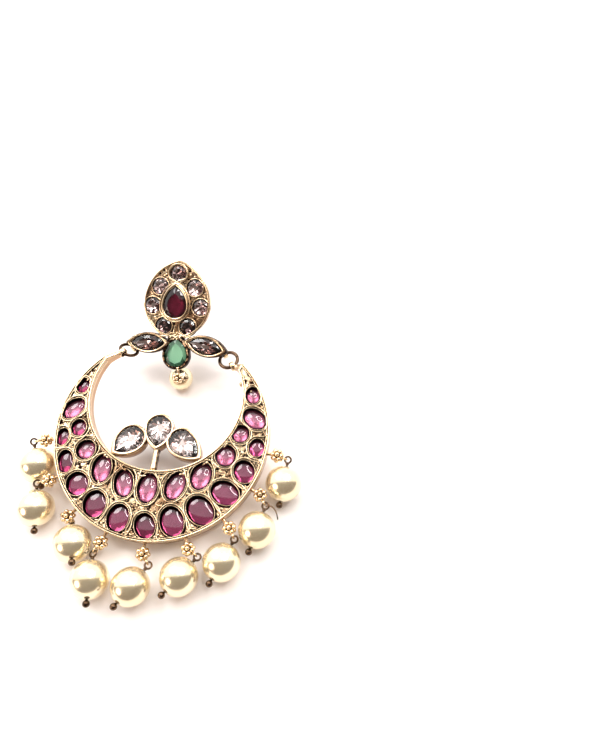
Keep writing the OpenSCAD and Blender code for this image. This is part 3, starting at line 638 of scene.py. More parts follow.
def freeRoom(cell, path, normal, reach):  # half the way to the next cell, or to the rims
    room = np.full(len(path), reach)
    for step in np.linspace(2 * reach + 0.2, 0.04, 24):
        p = path + normal * step
        hit = (np.linalg.norm(p, axis=1) > crescent["outerR"] - 0.5) | (
            np.linalg.norm(p - holeCentre, axis=1) < crescent["innerR"] + 0.5)
        for c in cells:
            if c is not cell:
                hit |= cellLevel(c, p[:, 0], p[:, 1], 0) < 1
        room[hit] = np.minimum(room[hit], max(step / 2 - 0.02, 0.05))
    for _ in range(4):
        room = (np.roll(room, 1) + 2 * room + np.roll(room, -1)) / 4
    return room


def addLip(heap, cell, path, normal):
    room, top = np.minimum(freeRoom(cell, path, normal, 0.3), lip["width"]), lip["top"]
    # painted shade with patina: the lip's inner wall and the pocket are dark at the stone's edge
    ribbon(heap, path, normal, [
        (0.0, -crescent["pocketDepth"], 1.0), (0.0, -0.5, 1.0), (0.02, top - 0.12, 0.7), (0.3 * room, top - 0.01, 0.0),
        (0.65 * room, top, 0.0), (room, top - 0.12, 0.5), (room, -0.9, 1.0)], closed=True)


def sweepRidge(heap, line, closed, half=ridge["half"]):
    ahead, top = aheadOf(line, closed), ridge["top"]
    normal = np.column_stack([ahead[:, 1], -ahead[:, 0]])
    # painted shade with patina: the ridge's flanks are dark, its top bright
    ribbon(heap, line, normal, [
        (-half * 1.4, -1.0, 1.0), (-half * 1.1, -0.4, 1.0), (-half * 0.9, top - 0.12, 0.2), (-half * 0.5, top, 0.0),
        (half * 0.5, top, 0.0), (half * 0.9, top - 0.12, 0.2), (half * 1.1, -0.4, 1.0), (half * 1.4, -1.0, 1.0)],
        closed=closed)


def addRidge(heap, cell, path, normal):  # an arch round the cell whose ends run on to the rim
    room = freeRoom(cell, path, normal, ridge["away"])
    line = path + normal * room[:, None]
    if cell["row"] in ("left", "right"):
        sweepRidge(heap, line, True, 0.15)
        return
    rim, n = cell["toRim"], len(path)
    sideways = vec(-rim[1], rim[0])
    away = int(np.argmin(normal @ rim))
    order = (away + np.arange(-n // 2, n // 2)) % n
    keep = [k for k in order if normal[k] @ rim < 0.22]
    arch = line[keep]
    tails = []
    for end in (0, -1):
        p, side = arch[end], np.sign(normal[keep[end]] @ sideways)
        gap = crescent["outerR"] - np.linalg.norm(p) if cell["row"] == "outer" \
            else np.linalg.norm(p - holeCentre) - crescent["innerR"]
        t = np.linspace(0.12, 1, 9)[:, None]
        for flare in (ridge["flare"], 0.25, 0.1, 0.0, -0.1):
            middle, last = p + rim * gap * 0.5, p + rim * (gap - ridge["rimGap"]) + sideways * side * flare * gap
            tail = p * (1 - t) ** 2 + middle * 2 * t * (1 - t) + last * t ** 2
            if all((cellLevel(c, tail[:, 0], tail[:, 1], 0.2) > 1).all() for c in cells if c is not cell):
                break
        tails.append(tail)
    whole = np.concatenate([tails[0][::-1], arch, tails[1]])
    for _ in range(3):
        whole[1:-1] = (whole[:-2] + 2 * whole[1:-1] + whole[2:]) / 4
    sweepRidge(heap, whole, False)


def castField(heap):  # the casting itself: floor between the cells, wells, walls and back
    c = crescent
    angles = np.linspace(-c["armEnd"], c["armEnd"], c["steps"] + 1)
    across = np.linspace(0, 1, c["columns"] + 1)
    inner = innerReach(angles)[:, None]
    reach = inner + across[None, :] * (c["outerR"] - inner)
    x, y = reach * sind(angles)[:, None], -reach * cosd(angles)[:, None]
    ripple = np.sin(2.3 * x + 1.1 * np.sin(1.9 * y)) * np.sin(2.1 * y + 0.9 * np.sin(2.6 * x))
    top = -c["fieldDepth"] - 0.06 + 0.05 * ripple
    # darker in the ripple's dips and round the cells, black in the wells: patina and painted shade
    recess = 0.46 - 0.18 * ripple
    for cell in cells:
        near = 1 - smooth(cellLevel(cell, x, y, 0.3), 1.0, 1.12)
        recess, top = np.maximum(recess, 0.95 * near), top - 0.12 * near
        well = cellLevel(cell, x, y, 0.1) < 1
        top[well], recess[well] = -c["pocketDepth"], 1.0
    # the walls' values below 0 give them the painted brown wall shade
    wall = [(1, 0, -0.9, 0.3), (1, 0, -1.6, -0.8), (1, 0, -2.4, -1), (1, 0, -3.1, -1), (1, -0.2, -c["depth"], 0.2),
            (0, 0.2, -c["depth"], 0.2), (0, 0, -3.1, -1), (0, 0, -2.4, -0.9), (0, 0, -1.6, -0.8), (0, 0, -0.9, 0.2)]
    rows, shade = [np.stack([x, y, top], -1)], [recess]
    for share, more, z, dark in wall:
        r = inner[:, 0] + share * (c["outerR"] - inner[:, 0]) + more
        rows.append(np.stack([r * sind(angles), -r * cosd(angles), np.full(len(r), z)], -1)[:, None])
        shade.append(np.full((len(r), 1), dark))
    heap.add(*loft(list(np.concatenate(rows, 1))), np.concatenate(shade, 1).ravel(), place=onCrescent)


def addRims(heap):
    c = crescent
    angles = np.linspace(-c["armEnd"], c["armEnd"], c["rimSteps"] + 1)
    radial = np.stack([sind(angles), -cosd(angles)], 1)
    edges = [(radial * c["outerR"], -radial)]
    inner = radial * innerReach(angles)[:, None]
    outOfHole = inner - holeCentre
    edges.append((inner, outOfHole / np.linalg.norm(outOfHole, axis=1)[:, None]))
    for path, normal in edges:
        # dark grooves (patina and painted shade) and brown walls (painted wall shade) beside the rims' tops, which are
        # slightly browned
        ribbon(heap, path, normal, [
            (0.0, -1.1, -0.6), (0.0, -0.3, -0.4), (0.03, -0.08, -0.3), (0.12, 0.0, -0.2), (0.3, 0.0, -0.2),
            (0.38, -0.07, 0.3), (0.42, -0.3, 1.0), (0.54, -0.3, 1.0), (0.58, -0.14, 0.2), (0.65, -0.08, 0.0),
            (0.74, -0.14, 0.3), (0.8, -0.4, 1.0), (0.81, -1.1, 1.0)])


petals = {"granule": 0.4, "small": 0.24}
grains = {"count": 180, "tries": 9000, "reach": 118, "small": 0.15, "large": 0.24, "apart": 0.42, "clear": 0.62,
          "armPlaces": (-123, -120, 120, 123), "armGrain": 0.22}
nub = {"angle": 128, "r": 0.55, "low": 1.2}


def addPetals(heap, a, share, towards, size):  # a granule between two leaves that point at it
    at = acrossAt(a, share) - vec(0, 0, 0.42)
    heap.add(*ball(petals["granule"] * size, at, 3, (1, 1, 0.9)), 0.05, place=onCrescent)
    for side in (-1, 1):
        lean = unit(along(a) * side + outward(a) * towards * 0.45)
        centre = at + lean * (petals["granule"] + petals["small"]) * 1.25 * size
        leaf, faces = ball(petals["small"] * size, (0, 0, 0), 3, (1.9, 0.9, 0.9))
        heap.add(leaf, faces, 0.1, place=onCrescent @ aimed(centre, vec(0, 0, 1), lean))


def addGranules(heap):
    rows, tries = {"inner": [], "outer": []}, 0
    for cell in cells:
        if cell["row"] in rows:
            rows[cell["row"]].append(math.degrees(math.atan2(cell["mid"][0], -cell["mid"][1])))
    for row, share, towards in (("inner", 0.11, -1), ("outer", 0.9, 1)):
        angles = sorted(rows[row])
        for a, b in zip(angles[:-1], angles[1:]):
            narrow = (crescent["outerR"] - innerReach((a + b) / 2)) / 15.3
            addPetals(heap, (a + b) / 2, share, towards, 0.45 + 0.5 * narrow)
            if row == "outer" and abs(a + b) < 130:
                addPetals(heap, (a + b) / 2, 0.5, -1, 0.3 + 0.4 * narrow)
    spots = []
    while len(spots) < grains["count"]:  # fine granulation wherever the cells and ridges leave room
        a, share = rng.uniform(-grains["reach"], grains["reach"]), rng.uniform(0, 1)
        inner = innerReach(a)
        if inner + 1.0 < inner + share * (crescent["outerR"] - inner) < crescent["outerR"] - 0.9:
            at = acrossAt(a, share)
            free = min(float(cellLevel(cell, at[0], at[1], grains["clear"])) for cell in cells) > 1
            if free and all(np.hypot(*(at - p)[:2]) > grains["apart"] for p in spots):
                spots.append(at)
        tries += 1
        if tries > grains["tries"]:
            break
    for at in spots:
        size = rng.uniform(grains["small"], grains["large"])
        heap.add(*ball(size, at - vec(0, 0, rng.uniform(0.4, 0.52)), 2), 0.0, place=onCrescent)
    for a in grains["armPlaces"]:  # on the narrow arms
        heap.add(*ball(grains["armGrain"], acrossAt(a, 0.5) - vec(0, 0, 0.4), 3), 0.05, place=onCrescent)


def addStrap(heap, number):  # flattened end of an arm and the eye on it
    side, angle, share = tipRows[number]
    a = side * (crescent["armEnd"] - 1)
    half = (crescent["outerR"] - innerReach(a)) / 2 - 0.01
    start = outward(a) * (crescent["outerR"] + innerReach(a)) / 2
    end = outward(side * angle) * share * crescent["outerR"]
    run = end - start
    end = end - unit(run) * (rings["hole"] + 0.02)
    mid, phi = -rings["tipLow"] * crescent["depth"], np.linspace(0, 2 * math.pi, 24, endpoint=False)
    box = np.stack([np.cos(phi), np.sin(phi)], 1)
    box = np.sign(box) * np.abs(box) ** 0.45
    across = np.cross(vec(0, 0, 1), unit(run))
    sections, bend = [], start + along(a) * side * 0.55 * np.linalg.norm(end - start)
    bend[2] = 0
    for t in np.linspace(0, 1, 18):
        k = smooth(t, 0.0, 1.0)
        wide = half + (rings["strap"] / 2 - half) * k
        low, high = -3.3 + (mid - eyeR + 3.3) * k, -0.08 + (mid + eyeR + 0.08) * k
        centre = start * (1 - t) ** 2 + bend * 2 * t * (1 - t) + end * t ** 2
        level = (high + low) / 2 + box[:, 1:] * (high - low) / 2
        sections.append(centre + across * box[:, :1] * wide + vec(0, 0, 1) * level)
    # painted wall shade on the sides (brown), painted shade with patina at the edges (dark), the top slightly browned
    shade = np.where(box[:, 1] > 0.9, -0.25, np.where(np.abs(box[:, 1]) > 0.75, 0.5, -0.8))
    heap.add(*loft(sections), np.tile(shade, len(sections)), place=onCrescent)
    addEye(heap, eyesA[number], crossways[number])


def addEye(heap, at, axis):
    hole, wall, half = rings["hole"], rings["wall"], rings["strap"] / 2
    # darkest inside the hole: patina and painted shade
    corners = [(hole, half - 0.12, 0.8), (hole + 0.1, half, 0.3), (hole + wall - 0.1, half, 0.1),
               (hole + wall, half - 0.12, 0.1)]
    profile = [(r, -z, dark) for r, z, dark in corners] + corners[::-1]
    heap.turned(profile, 40, aimed(at, axis, vec(0, 0, 1)), wrap=True)


def pearSeat(r, point, centre, n=28):
    return lambda g: pear(r + g, point + g * point / r, n) + centre[:2]


# A stone setting: outline(grow) is the seat's outline drawn out by grow; side, edge and top give the darkness of the
# outer wall, the rounded edge and the top, as patina and painted shade, with plain brown painted wall shade below 0
def addSetting(heap, outline, wall, depth, pocket, place, lift=0.0, side=0.45, edge=0.3, top=0.0):
    profile = [(wall - 0.12, -depth, 0.8), (wall, -depth + 0.15, side + 0.2), (wall, -0.6 * depth, side),
               (wall, lift - 0.5, side), (wall - 0.02, lift - 0.34, max(edge, 0.8)), (wall * 0.94, lift - 0.16, edge),
               (wall * 0.74, lift - 0.03, edge * 0.6), (wall * 0.52, lift, top), (wall * 0.3, lift - 0.04, top),
               (wall * 0.12, lift - 0.13, 0.5), (0.02, lift - 0.24, 1.0), (0.0, lift - 0.45, 1.0), (0.0, -pocket, 1.0)]
    sections = [raised(outline(grow), z) for grow, z, _ in profile]
    heap.add(*loft(sections), np.repeat([row[2] for row in profile], len(sections[0])), place=place)


fanPlaces = []
for rowPlace, rowStems, rowTurn, rowShare in fanRows:
    fanPlaces.append(shift((*holeCentre, 0)) @ turn("Z", rowPlace)
                     @ shift((0, rowStems * fan["stem"] - crescent["innerR"] - 0.05, 0))
                     @ turn("Z", 180 + rowTurn) @ shift((0, -rowShare * fan["point"], 0)))


def addFan(heap):
    seatR = fan["r"] - fan["bezel"]
    for spot, row in zip(fanPlaces, fanRows):
        point = row[3] * fan["point"] * seatR / fan["r"]
        addSetting(heap, pearSeat(seatR, point, vec(0, 0)), fan["bezel"], fan["depth"] * 0.97, 1.5, onCrescent @ spot,
                   side=-1)
    stemPlace = onCrescent @ shift((*holeCentre, 0)) @ turn("Z", fanRows[1][0])
    half, low = fan["stemWidth"] / 2, -0.85 * fan["depth"]
    sections = []
    for t in np.linspace(0, 1, 9):
        pinch = 1 - 0.22 * math.sin(math.pi * t)
        y = -crescent["innerR"] - 0.1 + t * (fan["stem"] + 1.3)
        sections.append([(-half * pinch, y, low), (half * pinch, y, low), (half * pinch, y, -0.7),
                         (half * pinch * 0.6, y, -0.5), (0.0, y, -0.44), (-half * pinch * 0.6, y, -0.5),
                         (-half * pinch, y, -0.7)])
    heap.add(*loft(np.array(sections)), np.tile([0.7, 0.7, 0.3, 0.0, 0.0, 0.0, 0.3], 9), place=stemPlace)


def addRosette(heap, bead, reach, place):
    # a dark core that shows between the beads: painted shade in the gaps, with patina
    heap.add(*ball(0.95 * reach, detail=3), 1.0, place=place)
    bead *= 1.13
    for polar, count, start in ((0, 1, 0), (62, 6, 0), (115, 6, 30), (180, 1, 0)):
        for i in range(count):
            at = (turn("Z", start + 360 * (i + 1) / count) @ turn("X", polar))[:3, :3] @ vec(0, 0, reach)
            heap.add(*ball(bead, at, 3), 0.0, place=place)


def addEar(heap, at, outDir, axis, reach, ringR, wireR):
    place = aimed(at, outDir, axis)
    heap.turned([(1.5 * wireR, 0), (1.4 * wireR, reach * 0.6), (1.15 * wireR, reach - ringR)], 16, place, 0.4)
    heap.add(*torus(ringR, wireR, 40, 12), 0.15, place=place @ shift((0, 0, reach)) @ turn("X", 90))


def addRosetteDrops(heap):
    for drop in drops:
        a = drop["angle"]
        middle = rosetteReach * outward(a) + vec(0, 0, rosetteLevel)
        addRosette(heap, rosettes["bead"], rosettes["reach"], onCrescent @ shift(middle) @ turn("Z", a))
        root = crescent["outerR"] - 0.3
        place = onCrescent @ aimed(root * outward(a) + vec(0, 0, rosetteLevel), outward(a), vec(0, 0, 1))
        # the stem takes the painted brown wall shade
        heap.turned([(0.5, 0), (0.4, 0.5), (0.34, 0.9), (0.4, rosetteReach - root)], 20, place, -0.7)
        addEar(heap, drop["rosette"], drop["ear"], drop["axis"], earReach, rosettes["earR"], rosettes["earWire"])


def crescentPiece():
    heap = Heap()
    castField(heap)
    addRims(heap)
    for cell in cells:
        path, normal = cellPath(cell, lip["points"])
        addLip(heap, cell, path, normal)
        addRidge(heap, cell, path, normal)
    addGranules(heap)
    for number in (0, 1):
        addStrap(heap, number)
    spot = outward(nub["angle"]) * (innerReach(nub["angle"]) - 0.1) - vec(0, 0, nub["low"])
    heap.add(*ball(nub["r"], spot, 3, (1, 1.1, 1.4)), 0.3, place=onCrescent)  # casting nub on the right arm
    addFan(heap)
    addRosetteDrops(heap)
    heap.build("crescentCasting", [gold], ["crescent_frame"])
    print("crescent made,", len(heap.faces), "faces")


crescentPiece()


# Stud, in its own plane
def marquiseSeat(n=30):
    long, wide = stud["marquiseLong"], stud["marquiseWide"]
    return lambda g: marquise(long + 2 * g * long / wide, wide + 2 * g, n)


roundCentres = [stud["r"] * vec(*p) + vec(0, plateY) for p in roundPlaces]
rubySeat = pearSeat(stud["rubyR"], stud["rubyPoint"], gemCentre)
greenSeat = pearSeat(stud["greenR"], stud["greenPoint"], greenCentre)
marquisePlaces = [onStud @ shift(marquiseAt(row)) @ turn("Z", -row[0] * row[3]) for row in marquiseRows]
plate = {"rim": 0.5, "rings": 62, "ring": 0.3, "rubyLift": 0.3, "granule": 0.36}


def inPear(x, y, r, point, centre):  # under 1 inside a pear
    u, v = x - centre[0], y - centre[1]
    sideR = (point ** 2 + r ** 2) / (2 * r)
    above = np.sqrt(np.maximum(sideR ** 2 - np.clip(v, 0, point) ** 2, 0)) + r - sideR
    return np.where(v < 0, np.hypot(u, v) / r, np.where(v < point, np.abs(u) / np.maximum(above, 1e-6), 9))


def addPlate(heap):
    outline, centre = pear(stud["r"], stud["point"], 80), vec(0, plateY)
    inner = pear(stud["r"] - plate["rim"], stud["point"] * (1 - plate["rim"] / stud["r"]), 80)
    shares = np.linspace(0.004, 1, plate["rings"])
    grid = shares[:, None, None] * inner[None] + centre
    x, y = grid[..., 0], grid[..., 1]
    ripple = np.sin(2.9 * x + 0.8 * np.sin(2.2 * y)) * np.sin(2.7 * y)
    top = -stud["relief"] + 0.05 * ripple
    # darker in the ripple's dips and round the round stones, black in the wells: patina and painted shade
    recess = 0.3 - 0.18 * ripple
    for c in roundCentres:
        far = np.hypot(x - c[0], y - c[1]) - stud["roundR"]
        recess = np.maximum(recess, 0.7 * (1 - smooth(far, 0.3, 0.75)))
        top[far < 0.12], recess[far < 0.12] = -1.5, 1.0
    well = inPear(x, y, stud["rubyR"] + 0.3, stud["rubyPoint"] + 0.4, gemCentre) < 1
    top[well], recess[well] = -1.5, 1.0
    sections, shade = list(np.dstack([grid, top])), [recess]
    # dark creases on the walls and the back: patina and painted shade
    walls = [(-0.5, -0.12, 0.8), (-0.42, -0.01, 0.1), (-0.26, 0.02, 0.0), (-0.1, 0.0, 0.0), (-0.02, -0.1, 0.1),
             (0.0, -0.25, 0.9), (0.0, -0.34, 0.2), (0.0, -0.94, 0.1), (-0.08, -1.0, 0.2), (-0.36, -1.03, 0.9),
             (-0.4, -1.12, 0.5), (-0.4, -1.9, 0.1), (-0.4, -2.85, 0.2), (-0.52, -stud["depth"], 0.3)]
    for grow, z, dark in walls:
        ratio = 1 + grow / stud["r"]
        sections.append(raised(outline * ratio + centre, z))
        shade.append(np.full((1, len(outline)), dark))
    for share in (0.85, 0.6, 0.3, 0.01):
        sections.append(raised(outline * share + centre, -stud["depth"]))
        shade.append(np.full((1, len(outline)), 0.35))
    heap.add(*loft(sections), np.concatenate(shade).ravel(), place=onStud)


def addRoundCollars(heap):
    r, w = stud["roundR"], plate["ring"]
    profile = [(r, -1.5, 1.0), (r, -0.3, 1.0), (r + 0.03, -0.1, 0.6), (r + 0.3 * w, 0.0, 0.0), (r + 0.6 * w, 0.0, 0.0),
               (r + w, -0.12, 0.3), (r + w + 0.02, -0.7, 1.0)]
    for c in roundCentres:
        heap.turned(profile, 48, onStud @ shift((*c, 0)), wrap=True)


def addRibbonRound(heap):  # one ridge that runs round the wine stone, crosses over and closes round the top stone
    top, r = roundCentres[0], stud["roundR"] + 0.42
    low, n = rubySeat(0.95), 28
    a = np.radians(np.linspace(-42, 222, 30))
    over = np.stack([top[0] + r * np.cos(a), top[1] + r * np.sin(a)], 1)
    body = np.concatenate([low[n * 2 + 9:], low[:n + 18]])  # starts on the left flank, goes round the bottom
    cross = vec((low[2 * n][0] + top[0]) / 2, low[2 * n][1] - 0.12)
    line = np.concatenate([body, [cross + vec(-0.35, -0.15)], [cross + vec(-0.7, 0.5)], over[::-1],
                           [cross + vec(0.75, 0.5)], [cross + vec(0.3, -0.15)]])
    for _ in range(4):
        line = (np.roll(line, 1, 0) + 2 * line + np.roll(line, -1, 0)) / 4
    heap.add(*tube(raised(line, -0.02), 0.2, 10, closed=True, up=vec(0, 0, 1)), 0.0, place=onStud)


def addLeaf(heap):  # leaf and granules between the lower stones and over the joint
    r = stud["r"]
    leaf, faces = ball(1.0, (0, 0, 0), 3, (0.36, 0.85, 0.3))
    leaf[:, 0] *= np.clip(0.75 - leaf[:, 1], 0.05, 1.4)
    heap.add(leaf, faces, 0.2, place=onStud @ shift((-0.2, -0.67 * r, -0.1)))
    for x, y, size in ((-0.05, -0.78, 0.8), (0.05, -0.78, 0.8), (0, -0.84, 1.0), (-0.09, -0.87, 0.8),
                       (0.09, -0.87, 0.8), (0.0, -0.92, 0.9), (-0.14, -0.92, 0.7), (0.14, -0.92, 0.7),
                       (0.05, -0.97, 0.6), (-0.05, -0.97, 0.6)):
        heap.add(*ball(plate["granule"] * size, (x * r, y * r, -0.15), 3), 0.12, place=onStud)
    for side in (-1, 1):  # curls that follow the lower stones
        c = roundCentres[5 if side > 0 else 6]
        a = np.radians(np.linspace(250, 322, 16) if side < 0 else np.linspace(290, 218, 16))
        line = np.stack([c[0] + 2.55 * np.cos(a), c[1] + 2.55 * np.sin(a), np.full(16, -0.12)], 1)
        heap.add(*tube(line, 0.19, 10, up=vec(0, 0, 1)), 0.05, place=onStud)


def addPlateGranules(heap):
    clusters = [(0.36, 0.86), (0.43, 0.78), (0.3, 0.94), (0.5, 0.82), (-0.36, 0.86), (0.66, 0.24), (0.72, 0.3),
                (0.6, 0.3), (-0.66, 0.24), (-0.72, 0.3), (0.66, -0.42), (0.72, -0.36), (-0.66, -0.42), (-0.6, -0.46),
                (0.52, -0.36), (-0.5, -0.34), (-0.42, 0.82)]
    for x, y in clusters:
        spot = stud["r"] * vec(x, y) + vec(0, plateY)
        near = min(np.hypot(*(spot - c)) for c in roundCentres) - stud["roundR"] - plate["ring"]
        inside = inPear(spot[0], spot[1], stud["r"] - 0.6, stud["point"] - 0.9, (0, plateY)) < 1
        if near > 0.12 and inside:
            heap.add(*ball(min(0.3, near), (*spot, -0.36), 3), 0.1, place=onStud)


def studPiece():
    heap = Heap()
    addPlate(heap)
    addRoundCollars(heap)
    addSetting(heap, rubySeat, stud["bezel"], 1.45, 1.2, onStud, lift=plate["rubyLift"], side=0.7)
    addRibbonRound(heap)
    for place in marquisePlaces:
        addSetting(heap, marquiseSeat(), stud["bezel"], stud["smallDepth"], 1.3, place, side=0.75, edge=0.95)
    addSetting(heap, greenSeat, stud["bezel"], stud["smallDepth"] * 0.98, 1.3, onStud, side=0.85, edge=0.9, top=0.42)
    boss = [(1.9, -1.95), (2.05, -1.7), (2.05, -0.7), (1.9, -0.45)]
    heap.turned(boss, 40, onStud @ shift((0, -0.93 * stud["r"], 0)), 0.8)
    addLeaf(heap)
    addPlateGranules(heap)
    for number in (0, 1):
        addEye(heap, eyesB[number], crossways[number])
    addRosette(heap, dropBead, dropRosetteR, onStud @ shift(dropRosette))
    neckRun = stud["greenR"] + stud["bezel"] / 2
    place = onStud @ aimed(greenCentre - vec(0, 0, dropBead) + dropDown * neckRun, dropDown, vec(0, 0, 1))
    heap.turned([(dropBead, 0), (dropBead * 0.8, 0.8), (dropBead * 0.9, greenReach - neckRun)], 20, place, 0.5)
    addEar(heap, moved(onStud, dropRosette), dropEar, dropAxis, dropEarReach, dropEarR, 0.8 * rosettes["earWire"])
    heap.build("studCasting", [gold], ["stud_frame"])
    print("stud made,", len(heap.faces), "faces")


studPiece()

post = {"groove": 2.4, "tenonR": 0.28, "tenon": 0.75, "shoulder": 0.1}


def postPiece():
    r, tip, groove = stud["postR"], stud["postLength"], post["groove"]
    end = tip - post["shoulder"]
    profile = [(0.12, 0.0, 0), (r * 0.6, 0.06, 0), (r * 0.93, 0.3, 0), (r, 0.5, 0.1), (r, groove - 0.25, 0.1),
               (r * 0.82, groove - 0.12, 0.6), (r * 0.82, groove + 0.12, 0.6), (r, groove + 0.25, 0.1), (r, 6.0, 0.1),
               (r, 9.5, 0.1), (r, end, 0.4), (post["tenonR"], end, 0.8), (post["tenonR"], tip + post["tenon"], 0.8)]
    heap = Heap()
    heap.turned(profile, 40, onStud @ shift((0, postY, -stud["depth"] - tip)))
    heap.build("earPost", [gold], ["ear_post"])


postPiece()


# Jump rings, cut through at one place each
linkCuts = {"link_left": (200, 3.5), "link_right": (165, 5.0)}


def linkPieces():
    for number, (name, (cut, width)) in enumerate(linkCuts.items()):
        a, b, cross = eyesA[number], eyesB[number], crossways[number]
        heap = Heap()
        wire = torus(np.linalg.norm(b - a) / 2, rings["wire"] + 0.06, 88, 18,
                     cut + width / 2, cut + 360 - width / 2 - 0.01)
        heap.add(*wire, 0.1, place=aimed((a + b) / 2, np.cross(b - a, cross), cross))
        heap.build("jumpRing_" + name[5:], [bronze], [name])


linkPieces()


# Pins: loop, wraps round the neck, shank and ball end, along z from the loop's centre
def addPin(heap, loop, hang, axis, ringR, wire, neck, pearlR, endR):
    place = aimed(loop, hang, axis)
    heap.add(*torus(ringR, wire, 44, 12), 0.1, place=place @ turn("Y", 90))
    mouth = ringR + neck
    t = np.linspace(0, 1, 60)
    coilR, coilWire = wire * 1.17, wire * 0.62
    a = 2 * math.pi * 2.6 * t
    coil = np.stack([coilR * np.cos(a), coilR * np.sin(a), ringR + wire * 0.3 + (neck - wire * 0.9) * t], 1)
    heap.add(*tube(coil, coilWire, 10, up=vec(0, 0, 1)), 0.1, place=place)
    end = mouth + 2 * pearlR + 2 * pins["slack"] + endR
    heap.turned([(wire, ringR - wire / 2), (wire, mouth + pearlR), (wire, end - endR),
                 (wire * 1.5, end - endR * 0.95), (wire * 1.5, end - endR * 0.7)], 16, place, 0.3)
    heap.add(*ball(endR, (0, 0, end), 4, (1, 1, 0.97)), 0.0, place=place)


def wireTail(heap, loop):  # loose end of the eighth pin's wire
    t = np.linspace(0, 1, 24)[:, None]
    p = [loop + vec(*d) for d in ((0.1, -0.2, 0.25), (1.3, 0.3, 0.9), (2.6, -0.9, 0.9), (2.9, -2.9, 0.3))]
    line = p[0] * (1 - t) ** 3 + 3 * p[1] * t * (1 - t) ** 2 + 3 * p[2] * t ** 2 * (1 - t) + p[3] * t ** 3
    heap.add(*tube(line, 0.14, 10), 0.1)


def dropPieces():
    for i, drop in enumerate(drops):
        heap = Heap()
        addPin(heap, drop["loop"], drop["hang"], drop["axis"], pins["loopR"], pins["wire"], pins["neck"],
               pins["pearlR"], pins["ball"])
        if i == 7:
            wireTail(heap, drop["loop"])
        heap.build(f"headPin_{i + 1}", [bronze], [f"pin_{i + 1}"])
        addPearl(f"{i + 1}", drop["pearl"], pins["pearlR"], drop["hang"], pins["hole"])
    heap = Heap()
    addPin(heap, dropLoop, dropHang, dropAxis, dropLoopR, pins["wire"] * dropSizes["wire"], dropNeck,
           dropSizes["pearlR"], pins["ball"] * dropSizes["ball"])
    heap.build("headPin_small", [bronze], ["pin_small"])
    addPearl("small", dropPearl, dropSizes["pearlR"], dropHang, 0.75 * pins["hole"])
    print("pearls and pins made")


def addPearl(name, at, r, direction, hole):  # drilled sphere, sunk a little round each hole
    first = math.asin(hole / r)
    a = np.linspace(first, math.pi - first, 56)
    dent = 0.035 * (np.exp(-((a - first) / 0.09) ** 2) + np.exp(-((math.pi - first - a) / 0.09) ** 2))
    profile = list(zip((r - dent) * np.sin(a), (r - dent) * np.cos(a), 0 * a))
    profile += [(hole, z, 1.0) for z in (0.25 - r, 0.0, r - 0.25)]
    heap = Heap()
    heap.turned(profile, 80, aimed(at, direction, vec(0, 0, 1)), wrap=True)
    heap.build("pearlBead_" + name, [nacre], ["pearl_" + name])


dropPieces()


# Cabochons: a dome over a straight side, with a foil underneath
cabochon = {"rings": 14, "points": 60, "domeRise": 1.0, "flatRise": 0.5, "edge": 0.1, "shadow": 0.55}
stoneTones = {"left_1": 0.6, "inner_1": 0.25, "outer_1": 0.4, "outer_2": 0.45, "outer_4": 0.2, "outer_6": 0.35,
              "outer_8": 0.15, "outer_10": 0.15, "inner_8": 0.12, "inner_9": 0.12, "right_1": 0.15}


def cabochonPieces():
    for cell in cells:
        domed = cell["top"] > -0.5
        rise = cabochon["domeRise"] if domed else cabochon["flatRise"]
        a, b = cell["a"] - crescent["stoneGap"], cell["b"] - crescent["stoneGap"]
        plan = ellipse(a, b, cabochon["points"])
        low, edgeZ = cell["low"] + 0.02, cell["top"] - rise
        ring = [(0.86, low + 0.02), (1.0, low + 0.2), (1.0, edgeZ - cabochon["edge"])]
        for s in np.linspace(1.0, 0.02, cabochon["rings"]):
            bulge = (math.sqrt(1.12 - s * s) - math.sqrt(0.12)) / (math.sqrt(1.12) - math.sqrt(0.12))
            ring.append((s * 0.985, edgeZ + rise * bulge))
        sections = [raised((plan * s) @ cellTurn(cell) + cell["mid"], z) for s, z in ring]
        points, faces = loft(sections)
        heap = Heap()
        sides = 3 * cabochon["points"]  # the foil runs up the straight side
        body = [faces[0][sides:], faces[2]]
        high = np.concatenate([(plan * s) @ cellTurn(cell) @ vec(0.1, 1) / cell["a"] for s, _ in ring])
        # painted shadow: each stone is darker towards its upper side, on top of its own tone
        tone = stoneTones.get(cell["name"][5:], 0.0) + cabochon["shadow"] * smooth(high, 0.3, 1.0)
        heap.add(points, body, np.clip(tone, 0, 1), 0, place=onCrescent)
        heap.faces += faces[0][:sides].tolist() + faces[1].tolist()
        heap.paint += [1] * (sides + 1)
        heap.smooth += [True] * sides + [False]
        look = [pinkStone, pinkFoil] if domed else [mauveStone, mauveFoil]
        heap.build("cabochon_" + cell["name"][5:], look, [cell["name"]])
    print("cabochons made,", len(cells))
